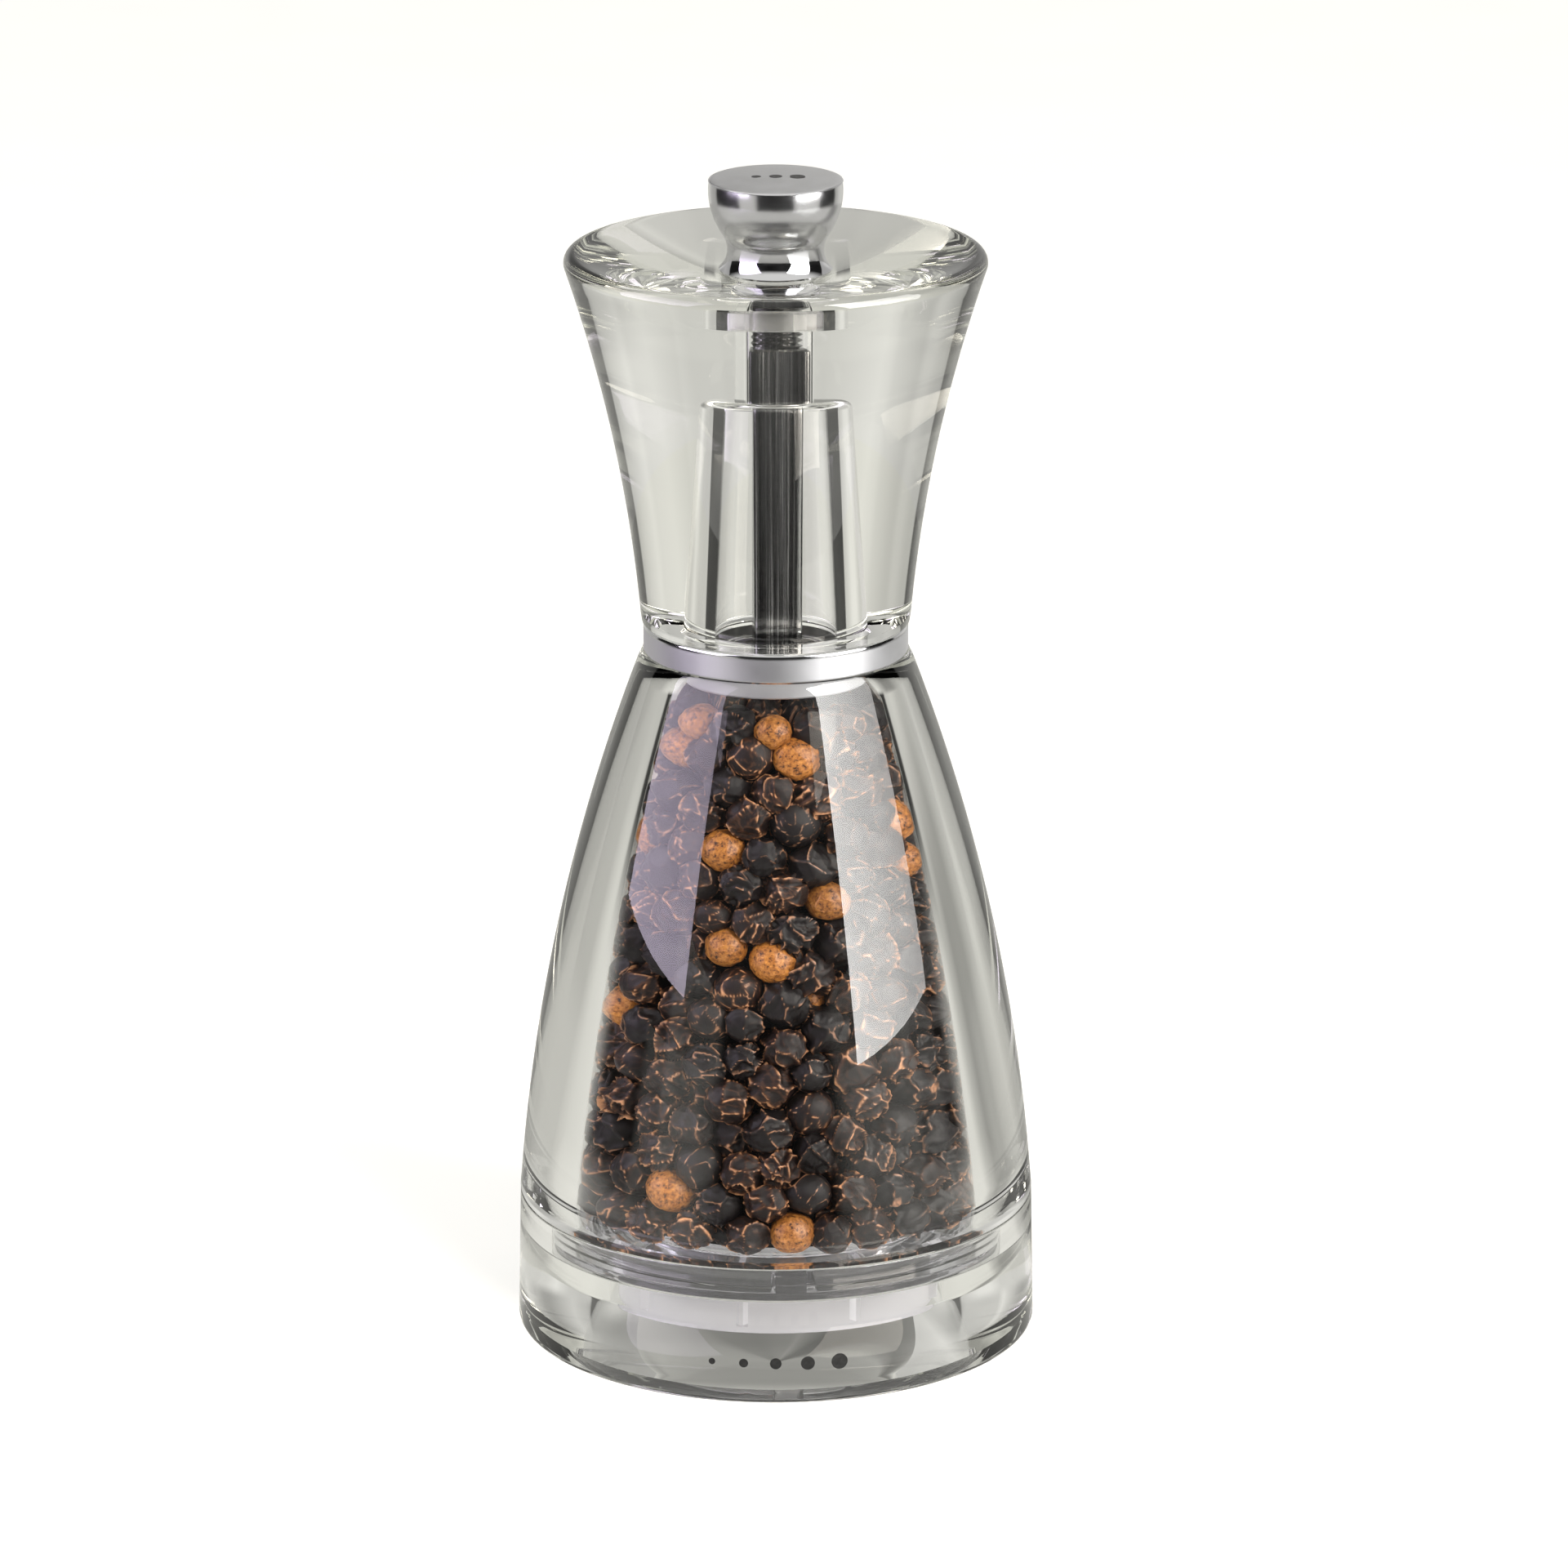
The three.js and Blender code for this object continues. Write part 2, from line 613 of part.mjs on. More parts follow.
function knob() {
  const brim = point(KNOB_RADIUS - KNOB_EDGE, HEIGHT - 0.3 - KNOB_EDGE);
  const waist = point(KNOB_WAIST_RADIUS, KNOB_WAIST);
  const underBrim = point(KNOB_RADIUS, brim.y);
  const outside = [
    point(KNOB_FOOT_RADIUS - 0.25, Z.knobFoot),
    point(KNOB_FOOT_RADIUS, Z.knobFoot + 0.3),
    point(KNOB_FOOT_RADIUS - 0.15, Z.knobFoot + 1.1),
    waist,
    ...arc(waist, underBrim, 11, 6),
    ...round(brim, KNOB_EDGE, 25, 80, 2),
    point(3.5, HEIGHT - 0.08),
  ];
  const socket = [point(INSERT_RADIUS, INSERT_TOP + 0.1), point(INSERT_RADIUS, Z.knobFoot)];
  return lathe([point(0, INSERT_TOP + 0.1), ...socket, ...outside, point(0, HEIGHT)], LARGE);
}
add("knob", knob(), chrome);

// The knob's threaded insert.
add(
  "knob_insert",
  washer(THREAD_RADIUS + 0.1, INSERT_RADIUS - SEAT_GAP, Z.knobFoot + 0.1, INSERT_TOP, SMALL),
  brass,
);

export default group;
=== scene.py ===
"""Looks of a clear acrylic pepper mill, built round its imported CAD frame.

The CAD frame is in metres. Outlines here are in millimetres, as (radius, height) on the mill's axis.
"""

from math import asin, copysign, cos, hypot, pi, radians, sin, sqrt, tan

import bmesh
import bpy
import numpy as np
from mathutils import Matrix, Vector


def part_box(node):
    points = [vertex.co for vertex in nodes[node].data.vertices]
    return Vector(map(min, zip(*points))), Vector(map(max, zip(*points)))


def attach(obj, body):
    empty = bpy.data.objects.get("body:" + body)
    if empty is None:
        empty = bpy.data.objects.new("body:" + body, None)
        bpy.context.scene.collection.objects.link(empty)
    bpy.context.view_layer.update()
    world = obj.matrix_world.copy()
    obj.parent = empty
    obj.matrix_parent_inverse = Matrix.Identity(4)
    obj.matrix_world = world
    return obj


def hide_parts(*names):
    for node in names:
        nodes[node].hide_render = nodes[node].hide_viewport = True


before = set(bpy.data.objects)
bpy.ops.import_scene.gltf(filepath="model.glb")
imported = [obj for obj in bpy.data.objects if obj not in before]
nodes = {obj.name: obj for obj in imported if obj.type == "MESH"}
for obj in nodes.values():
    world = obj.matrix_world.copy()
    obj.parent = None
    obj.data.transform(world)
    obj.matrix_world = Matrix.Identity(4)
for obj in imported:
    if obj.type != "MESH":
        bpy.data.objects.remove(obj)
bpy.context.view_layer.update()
scene = bpy.context.scene
MM = 0.001

# ---- driving dimensions, millimetres
FOOT_RADIUS = 27.6
FOOT_TAPER = 0.3  # how much narrower the foot's wall is at its top
NECK_RADIUS = 14.0
RIM_RADIUS = 22.0
SHAFT_SIDE = 4.76
SHAFT_TURN = radians(8)
THREAD_RADIUS = 2.0
THREAD_PITCH = 0.7
SOCKET_RADIUS = 24.2
SPIGOT_RADIUS = 24.0
CHAMBER_FOOT_RADIUS = 21.2
MOUTH_RADIUS = 10.5
COLLAR_BORE = 9.3
KEY_TURNS = [radians(degrees - 90) for degrees in (4, 124, 244)]
KEY_WIDTH = 3.6
KEY_RADIUS = 22.5
KEY_TOP = 13.65
SMOOTH = 288  # segments round a large clear piece
EASE = 0.06  # how far past an arc's ends its support points lie


def level(node, top=False):
    """Lowest or highest height of a CAD node, in millimetres."""
    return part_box(node)[1 if top else 0].z / MM


Z_OUTLET = level("burr_carrier")
Z_FLOOR = level("burr_carrier", top=True)
Z_BODY_FOOT = level("base_ring", top=True)
Z_SPIGOT = level("body_shell")
Z_BODY_TOP = level("body_shell", top=True)
Z_SLEEVE = level("neck_collar")
Z_COLLAR_TOP = level("neck_collar", top=True)
Z_CAP_FOOT = level("cap")
Z_RIM = level("cap", top=True)
Z_DISH = level("knob_bush", top=True)
Z_BUSH = level("knob_bush")
Z_KNOB = level("knob")
Z_TOP = level("knob", top=True)
Z_FILL_TOP = level("peppercorns", top=True)
Z_BURR_SEAT = 9.6
Z_SHELF = 10.5
Z_FLANGE_TOP = Z_SPIGOT - 0.1
Z_BORE_ROOF = 104.5
Z_BORE_MOUTH = 77.3
Z_SQUARE_END = 110.7
KNOB_WAIST = (5.05, 117.35)
KNOB_BRIM = (6.93, Z_TOP - 0.5)


# ---- outlines
def arc(start, end, radius, steps):
    """Points after start and up to end on an arc. A positive radius bulges to the right of the way."""
    a, b = Vector(start), Vector(end)
    way = b - a
    right = Vector((way.y, -way.x)).normalized()
    rise = copysign(sqrt(radius**2 - way.length_squared / 4), radius)
    centre = (a + b) / 2 - right * rise
    sweep = 2 * asin(way.length / 2 / radius)
    arm = a - centre
    points = []
    for i in range(1, steps + 1):
        cosine, sine = cos(sweep * i / steps), sin(sweep * i / steps)
        turned_arm = Vector((arm.x * cosine - arm.y * sine, arm.x * sine + arm.y * cosine))
        points.append(tuple(centre + turned_arm))
    return points


def circle_points(centre, radius, degrees):
    """A point on the circle at each angle. Angle 0 points outward and 90 up."""
    angles = [radians(angle) for angle in degrees]
    return [(centre[0] + radius * cos(a), centre[1] + radius * sin(a)) for a in angles]


def rounded(corners, steps=4):
    """A closed outline through (radius, height, rounding) corners, with an arc at each rounded one.

    A support point just past each end of an arc keeps its smooth shading off the straight beside it.
    """
    points = []
    for i, corner in enumerate(corners):
        here = Vector(corner[:2])
        rounding = corner[2] if len(corner) > 2 else 0
        if rounding == 0:
            points.append(tuple(here))
            continue
        to_last = (Vector(corners[i - 1][:2]) - here).normalized()
        to_next = (Vector(corners[(i + 1) % len(corners)][:2]) - here).normalized()
        half = to_last.angle(to_next) / 2
        centre = here + (to_last + to_next).normalized() * rounding / sin(half)
        reach = rounding / tan(half)
        start = here + to_last * reach - centre
        end = here + to_next * reach - centre
        sweep = start.angle(end)
        points.append(tuple(here + to_last * (reach + EASE)))
        for k in range(steps + 1):
            t = k / steps
            arm = start * sin((1 - t) * sweep) + end * sin(t * sweep)
            points.append(tuple(centre + arm / sin(sweep)))
        points.append(tuple(here + to_next * (reach + EASE)))
    return points


# ---- meshes
def quad_mesh(name, vertices, faces):
    """A mesh of four-cornered faces through vertices in millimetres."""
    mesh = bpy.data.meshes.new(name)
    mesh.vertices.add(len(vertices))
    mesh.vertices.foreach_set("co", (vertices * MM).ravel())
    loops = faces.astype(np.int32)
    mesh.loops.add(loops.size)
    mesh.loops.foreach_set("vertex_index", loops.ravel())
    mesh.polygons.add(len(loops))
    mesh.polygons.foreach_set("loop_start", np.arange(0, loops.size, 4, dtype=np.int32))
    mesh.update(calc_edges=True)
    return mesh


def smooth_piece(mesh, material):
    """Puts a smooth-shaded mesh in the scene as a piece of its own."""
    mesh.polygons.foreach_set("use_smooth", [True] * len(mesh.polygons))
    mesh.materials.append(material)
    piece = bpy.data.objects.new(mesh.name, mesh)
    scene.collection.objects.link(piece)
    return piece


def cleaned(mesh):
    """Closes the mesh where rings meet on the axis, and turns its faces outward."""
    mesh.validate()
    bm = bmesh.new()
    bm.from_mesh(mesh)
    bmesh.ops.remove_doubles(bm, verts=bm.verts, dist=1e-7)
    bmesh.ops.dissolve_degenerate(bm, edges=bm.edges, dist=1e-7)
    bmesh.ops.recalc_face_normals(bm, faces=bm.faces)
    bm.to_mesh(mesh)
    bm.free()
    return mesh


def revolve(name, rings, material, segments=SMOOTH, closed=True, turn=0.0, sharp=35):
    """Turns rings of (radius, height) about the axis. A ring's third item reshapes it round the circle."""
    angles = turn + np.arange(segments) * 2 * pi / segments
    rows = []
    for ring in rings:
        radii = np.full(segments, float(ring[0]))
        heights = np.full(segments, float(ring[1]))
        if len(ring) > 2:
            radii, heights = ring[2](angles, radii, heights)
        rows.append(np.stack([radii * np.cos(angles), radii * np.sin(angles), heights], axis=1))
    vertices = np.concatenate(rows)
    lower = np.arange(len(rings) if closed else len(rings) - 1)
    upper = (lower + 1) % len(rings)
    here = np.arange(segments)
    beside = (here + 1) % segments
    corners = (lower, here), (lower, beside), (upper, beside), (upper, here)
    faces = np.stack([(row[:, None] * segments + column).ravel() for row, column in corners], axis=1)
    piece = smooth_piece(cleaned(quad_mesh(name, vertices, faces)), material)
    piece.data.set_sharp_from_angle(angle=radians(sharp))
    return piece


def square(angles, radii, heights):
    """Reshapes a ring into the spindle's square with eased corners. The radius is half a side."""
    along = angles - SHAFT_TURN
    power = 9
    return radii / (np.abs(np.cos(along)) ** power + np.abs(np.sin(along)) ** power) ** (1 / power), heights


def distance_round(angles, centre):
    return np.abs((angles - centre + pi) % (2 * pi) - pi)


def near_any(angles, centres, half_width, radius):
    """True where a ring of this radius lies within half_width of one of the centre angles."""
    return np.any([distance_round(angles, c) * radius < half_width for c in centres], axis=0)


def stands_for(piece, body, slot, *replaced):
    """Puts a piece on a body in place of CAD nodes. The slot, a finish from the record, is not used."""
    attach(piece, body)
    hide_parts(*replaced)


def clear(piece):
    """Light for what is inside passes a clear piece straight, so it isn't lost in the walls."""
    piece.visible_shadow = False
    piece.visible_diffuse = False
    return piece


# ---- materials
def add_node(tree, kind, **settings):
    """A new node. Each setting is a property, the value of an input, or the output that feeds it."""
    made = tree.nodes.new(kind)
    for name, value in settings.items():
        if isinstance(value, bpy.types.NodeSocket):
            tree.links.new(value, made.inputs[name.replace("_", " ")])
        elif name in made.bl_rna.properties:
            setattr(made, name, value)
        else:
            made.inputs[name.replace("_", " ")].default_value = value
    return made


def colour_ramp(tree, factor, stops):
    """A ramp through (position, grey level or colour) stops."""
    made = add_node(tree, "ShaderNodeValToRGB", Fac=factor)
    elements = made.color_ramp.elements
    while len(elements) < len(stops):
        elements.new(0.5)
    for element, (position, colour) in zip(elements, stops):
        element.position = position
        element.color = (*colour, 1) if isinstance(colour, tuple) else (colour, colour, colour, 1)
    return made.outputs["Color"]


class Shader:
    """A material with a Principled shader and short calls for its texture nodes."""

    def __init__(self, name, **sockets):
        self.material = bpy.data.materials.new(name)
        self.material.use_nodes = True
        self.tree = self.material.node_tree
        self.principled = self.tree.nodes["Principled BSDF"]
        for socket, value in sockets.items():
            self.principled.inputs[socket.replace("_", " ")].default_value = value
        self.place = self.node("ShaderNodeTexCoord").outputs["Object"]

    def node(self, kind, **settings):
        return add_node(self.tree, kind, **settings)

    def link(self, output, socket):
        self.tree.links.new(output, self.principled.inputs[socket])

    def stretched(self, *scale):
        return self.node("ShaderNodeMapping", Vector=self.place, Scale=scale).outputs["Vector"]

    def noise(self, scale, detail, vector=None, roughness=0.5):
        place = vector or self.place
        made = self.node("ShaderNodeTexNoise", Vector=place, Scale=scale, Detail=detail, Roughness=roughness)
        return made.outputs["Fac"]

    def ramp(self, factor, *stops):
        return colour_ramp(self.tree, factor, stops)

    def vary(self, socket, factor, *stops):
        """Drives a socket of the shader through a ramp."""
        self.link(self.ramp(factor, *stops), socket)

    def height(self, start, end):
        """0 at the start height in millimetres and before it, and 1 at the end height and past it."""
        split = self.node("ShaderNodeSeparateXYZ", Vector=self.place)
        ends = {"From_Min": start * MM, "From_Max": end * MM}
        return self.node("ShaderNodeMapRange", Value=split.outputs["Z"], **ends).outputs["Result"]

    def blend(self, factor, first, second):
        """The first colour at factor 0 and the second at 1."""
        made = self.tree.nodes.new("ShaderNodeMix")
        made.data_type = "RGBA"
        if isinstance(factor, bpy.types.NodeSocket):
            self.tree.links.new(factor, made.inputs[0])
        else:
            made.inputs[0].default_value = factor
        self.tree.links.new(first, made.inputs[6])
        self.tree.links.new(second, made.inputs[7])
        return made.outputs[2]

    def bump(self, height, strength, distance, base=None):
        made = self.node("ShaderNodeBump", Strength=strength, Distance=distance, Height=height)
        if base is not None:
            self.tree.links.new(base, made.inputs["Normal"])
        return made.outputs["Normal"]


def acrylic():
    """Polished clear acrylic: a faint warm tint, handling scuffs and very shallow moulding waves."""
    shader = Shader("clear_acrylic", Base_Color=(1, 1, 1, 1), Transmission_Weight=1.0, IOR=1.49)
    scuffs = shader.noise(900, 4, roughness=0.7)
    shader.vary("Roughness", scuffs, (0.6, 0.0), (0.85, 0.035))
    waves = shader.noise(60, 1)
    shader.link(shader.bump(waves, 0.04, 0.0004), "Normal")
    absorption = shader.node("ShaderNodeVolumeAbsorption", Color=(0.86, 0.87, 0.79, 1), Density=13.0)
    output = shader.tree.nodes["Material Output"]
    shader.tree.links.new(absorption.outputs["Volume"], output.inputs["Volume"])
    return shader.material


def chrome(name, smooth, hazy, haze_start, haze_end):
    """Chrome plate with faint smears: smooth up to one height in millimetres, and hazy past the other."""
    shader = Shader(name, Base_Color=(0.61, 0.61, 0.63, 1), Metallic=1.0)
    smears = shader.noise(350, 4, roughness=0.65)
    clean = shader.ramp(smears, (0.35, smooth), (0.75, smooth + 0.05))
    blurred = shader.ramp(smears, (0.35, hazy), (0.75, hazy + 0.05))
    shader.link(shader.blend(shader.height(haze_start, haze_end), clean, blurred), "Roughness")
    orange_peel = shader.noise(500, 2)
    shader.link(shader.bump(orange_peel, 0.05, 0.0002), "Normal")
    return shader.material


def satin_chrome():
    """The knob's top: fine lathe marks round the middle."""
    shader = Shader("satin_chrome", Base_Color=(0.62, 0.62, 0.63, 1), Metallic=1.0)
    rings = shader.node("ShaderNodeTexWave", Vector=shader.place, Scale=2600.0, Distortion=1.5, Detail=2.0)
    rings.wave_type = "RINGS"
    rings.rings_direction = "Z"
    shader.vary("Roughness", shader.noise(700, 3), (0.3, 0.3), (0.8, 0.42))
    shader.link(shader.bump(rings.outputs["Fac"], 0.12, 0.00005), "Normal")
    return shader.material


def brushed_aluminium():
    """Drawn bar with long streaks and small handling marks."""
    shader = Shader("brushed_aluminium", Metallic=1.0)
    long_streaks = shader.noise(1, 4, shader.stretched(2600, 2600, 9), roughness=0.6)
    fine_streaks = shader.noise(1, 3, shader.stretched(7000, 7000, 60))
    greys = (0.34, 0.1), (0.5, 0.25), (0.6, 0.5), (0.72, 0.95)
    shader.vary("Base Color", long_streaks, *greys)
    shader.vary("Roughness", fine_streaks, (0.3, 0.1), (0.75, 0.22))
    first = shader.bump(long_streaks, 0.8, 0.0001)
    shader.link(shader.bump(fine_streaks, 0.3, 0.00003, first), "Normal")
    return shader.material


def machined_steel(name, dark, light, roughness):
    shader = Shader(name, Metallic=1.0)
    grain = shader.noise(1800, 5, roughness=0.7)
    shader.vary("Base Color", grain, (0.3, dark), (0.7, light))
    shader.vary("Roughness", shader.noise(500, 3), (0.3, roughness), (0.8, roughness + 0.15))
    shader.link(shader.bump(grain, 0.25, 0.00006), "Normal")
    return shader.material


def translucent_plastic(name, colour, transmission, roughness):
    """The shader of a milky moulded plastic with faint clouds and flow marks."""
    shader = Shader(name, Transmission_Weight=transmission, IOR=1.49)
    clouds = shader.noise(160, 3)
    darker = tuple(0.93 * c for c in colour)
    shader.vary("Base Color", clouds, (0.3, darker), (0.7, colour))
    shader.vary("Roughness", shader.noise(400, 2), (0.3, roughness), (0.8, roughness + 0.05))
    shader.link(shader.bump(shader.noise(150, 2), 0.05, 0.0003), "Normal")
    return shader


def carrier_plastic():
    """Milky below the flange, where the mould is textured, and polished above it."""
    shader = translucent_plastic("carrier_plastic", (0.74, 0.74, 0.79), 0.9, 0.05)
    polished = shader.height(Z_SHELF - 0.05, Z_SHELF + 0.05)
    shader.vary("Roughness", polished, (0.0, 0.32), (1.0, 0.02))
    shader.vary("Transmission Weight", polished, (0.0, 0.72), (1.0, 0.98))
    return shader.material


def brass():
    shader = Shader("brass", Metallic=1.0)
    turning = shader.noise(1, 3, shader.stretched(200, 200, 5000))
    shader.vary("Base Color", turning, (0.3, (0.6, 0.42, 0.16)), (0.7, (0.78, 0.6, 0.28)))
    shader.vary("Roughness", turning, (0.3, 0.2), (0.8, 0.35))
    return shader.material


def painted_bore_shade():
    """The collar's bore, painted dark as shade: matt and a little blotchy."""
    shader = Shader("painted_bore_shade")
    shader.principled.inputs["Specular IOR Level"].default_value = 0.15
    blotches = shader.noise(600, 3)
    shader.vary("Base Color", blotches, (0.3, 0.02), (0.75, (0.045, 0.042, 0.04)))
    shader.vary("Roughness", blotches, (0.3, 0.7), (0.75, 0.85))
    return shader.material


def ink():
    """Black print with slightly uneven cover."""
    shader = Shader("ink")
    cover = shader.noise(3000, 3)
    shader.vary("Base Color", cover, (0.3, 0.004), (0.8, 0.02))
    shader.vary("Roughness", cover, (0.3, 0.35), (0.8, 0.55))
    return shader.material


def pepper_skin():
    """Dry skin: its own colour, with painted shade in the hollows and a painted highlight on the ridges. Its
    colour layer holds how high a point is on a ridge, how golden a corn is and how brown.
    """
    shader = Shader("pepper_skin")
    shader.principled.inputs["Specular IOR Level"].default_value = 0.4
    skin = shader.node("ShaderNodeVertexColor", layer_name="skin")
    parts = shader.node("ShaderNodeSeparateColor", Color=skin.outputs["Color"])
    ridge, golden, brown = parts.outputs["Red"], parts.outputs["Green"], parts.outputs["Blue"]
    speckle = shader.noise(2400, 4, roughness=0.7)
    patches = shader.noise(420, 2)
    height = shader.blend(0.3, ridge, speckle)
    # Black and brown skins run from near black in the hollows to pale on the ridges: partly the skin's own
    # colour, partly painted shade and a painted highlight.
    black_lit_stops = (0.3, (0.004, 0.002, 0.002)), (0.5, (0.01, 0.005, 0.003)), (0.85, (0.5, 0.25, 0.14))
    brown_lit_stops = (0.2, (0.006, 0.002, 0.001)), (0.45, (0.055, 0.02, 0.008)), (0.8, (0.75, 0.37, 0.18))
    gold_stops = (0.36, (0.03, 0.012, 0.003)), (0.45, (0.36, 0.12, 0.02)), (0.68, (0.74, 0.31, 0.06))
    black_skin_lit = shader.ramp(height, *black_lit_stops)
    brown_skin_lit = shader.ramp(height, *brown_lit_stops)
    gold_skin = shader.ramp(speckle, *gold_stops)
    browned = shader.ramp(shader.blend(0.4, brown, patches), (0.42, 0.0), (0.62, 1.0))
    colour = shader.blend(golden, shader.blend(browned, black_skin_lit, brown_skin_lit), gold_skin)
    shader.link(colour, "Base Color")
    shader.vary("Roughness", height, (0.2, 0.42), (0.9, 0.27))
    shader.link(shader.bump(speckle, 0.45, 0.00012), "Normal")
    return shader.material


ACRYLIC = acrylic()
COLLAR_CHROME = chrome("collar_chrome", 0.05, 0.42, Z_COLLAR_TOP - 0.3, Z_COLLAR_TOP - 0.6)
KNOB_CHROME = chrome("knob_chrome", 0.03, 0.15, KNOB_WAIST[1], KNOB_WAIST[1] + 0.8)
COLLAR_BORE_SHADE = painted_bore_shade()
SATIN = satin_chrome()
ALUMINIUM = brushed_aluminium()
BURR_STEEL = machined_steel("burr_steel", 0.025, 0.07, 0.3)
SPRING_STEEL = machined_steel("spring_steel", 0.4, 0.58, 0.22)
CARRIER_PLASTIC = carrier_plastic()
NYLON = translucent_plastic("nylon", (0.66, 0.66, 0.65), 0.85, 0.16).material
BRASS = brass()
INK = ink()
PEPPER = pepper_skin()


# ---- foot and body
def base_ring():
    """The foot: a plain wall, a socket for the body's spigot, and an outlet that flares to the table."""
    outlet = 18.0
    flare_top = (outlet, 6.4)
    flare = arc(flare_top, (20.9, 0.0), 16, 12)
    corners = [
        (FOOT_RADIUS, 0.0, 0.9),
        (FOOT_RADIUS - FOOT_TAPER, Z_BODY_FOOT, 0.15),
        (SOCKET_RADIUS, Z_BODY_FOOT, 0.15),
        (SOCKET_RADIUS, Z_SHELF, 0.2),
        (outlet, Z_SHELF, 0.2),
        (outlet, flare_top[1] + EASE),
        flare_top,
        *flare,
    ]
    piece = clear(revolve("foot_ring", rounded(corners, 5), ACRYLIC))
    add_dots(piece, [wall_dot(number) for number in range(5)])
    stands_for(piece, "stand", "clear_acrylic", "base_ring")


def wall_dot(number):
    """One of a row of growing dots on the foot's outer wall, which stand for fine to coarse."""
    height = 4.6
    degrees_apart = 7
    angle = radians(-90 + degrees_apart * (number - 2))
    out = (cos(angle), sin(angle), 0)
    across = (-sin(angle), cos(angle), 0)
    reach = FOOT_RADIUS - FOOT_TAPER * height / Z_BODY_FOOT + 0.01
    radius = 0.35 + 0.13 * number
    return dot((out[0] * reach, out[1] * reach, height), across, (0, 0, 1), out, radius)


CHAMBER_TOP = (MOUTH_RADIUS, Z_SLEEVE)
CHAMBER = [CHAMBER_TOP] + arc(CHAMBER_TOP, (CHAMBER_FOOT_RADIUS, Z_BODY_FOOT), -308, 40)


def key_notch(angles, radii, heights):
    """Lifts the spigot's edge where a key of the carrier sits."""
    inside = near_any(angles, KEY_TURNS, KEY_WIDTH / 2 + 0.25, KEY_RADIUS)
    return radii, np.where(inside, KEY_TOP + 0.3, heights)


def body_shell():
    """The bell-shaped body: a spigot with key notches below, and thick walls round the chamber."""
    shoulder = (FOOT_RADIUS - FOOT_TAPER, Z_BODY_FOOT + 0.1)
    neck = (NECK_RADIUS + 0.1, Z_BODY_TOP)
    rings = [
        (SPIGOT_RADIUS - 0.15, Z_SPIGOT, key_notch),
        (SPIGOT_RADIUS, Z_SPIGOT + 0.15, key_notch),
        (SPIGOT_RADIUS, shoulder[1] - 0.12),
        (SPIGOT_RADIUS + 0.12, shoulder[1]),
        (shoulder[0] - 0.15, shoulder[1]),
        (shoulder[0] - 0.04, shoulder[1] + 0.05),
        (shoulder[0] + 0.01, shoulder[1] + 0.2),
        *[p for p in arc(shoulder, neck, 209, 48) if p[1] < neck[1] - 0.5],
        (neck[0] - 0.04, neck[1] - 0.15),
        (neck[0] - 0.2, neck[1]),
        (MOUTH_RADIUS + 0.2, Z_BODY_TOP),
        (MOUTH_RADIUS, Z_BODY_TOP - 0.2),
        *CHAMBER,
        (CHAMBER_FOOT_RADIUS, Z_SPIGOT + 0.15, key_notch),
        (CHAMBER_FOOT_RADIUS + 0.15, Z_SPIGOT, key_notch),
    ]
    piece = clear(revolve("body", rings, ACRYLIC))
    stands_for(piece, "stand", "clear_acrylic", "body_shell")


def neck_collar():
    """A flat band with a rounded shoulder, and a sleeve down into the body's mouth. Its bore is painted dark,
    as shade.
    """
    outside = NECK_RADIUS - 0.1
    ledge = Z_BODY_TOP + 0.1
    corners = [
        (MOUTH_RADIUS - 0.1, Z_SLEEVE, 0.25),
        (MOUTH_RADIUS - 0.1, ledge),
        (outside, ledge, 0.18),
        (outside, Z_COLLAR_TOP, 0.38),
        (COLLAR_BORE, Z_COLLAR_TOP, 0.3),
        (COLLAR_BORE, Z_SLEEVE, 0.2),
    ]
    piece = revolve("collar", rounded(corners, 8), COLLAR_CHROME)
    # A second slot, of painted shade, for the faces round the bore.
    piece.data.materials.append(COLLAR_BORE_SHADE)
    for face in piece.data.polygons:
        if hypot(*face.center[:2]) < (COLLAR_BORE + 0.2) * MM:
            face.material_index = 1
    stands_for(piece, "stand", "chrome", "neck_collar")


# ---- mechanism
CUP_RADIUS = 17.0
RIB_TURNS = [radians(-100.5 + 36 * i) for i in range(10)]
RIB_HALF_WIDTH = 0.5
RIB_DEPTH = 0.5


def ribs(angles, radii, heights):
    on_rib = near_any(angles, RIB_TURNS, RIB_HALF_WIDTH, CUP_RADIUS)
    return np.where(on_rib, radii + RIB_DEPTH, radii), heights


def keys(angles, radii, heights):
    on_key = near_any(angles, KEY_TURNS, KEY_WIDTH / 2, KEY_RADIUS)
    return np.where(on_key, SPIGOT_RADIUS - 0.2, radii), heights


def short_keys(angles, radii, heights):
    """The keys' bevelled upper edge."""
    on_key = near_any(angles, KEY_TURNS, KEY_WIDTH / 2 - 0.4, KEY_RADIUS)
    return np.where(on_key, SPIGOT_RADIUS - 0.8, radii), heights


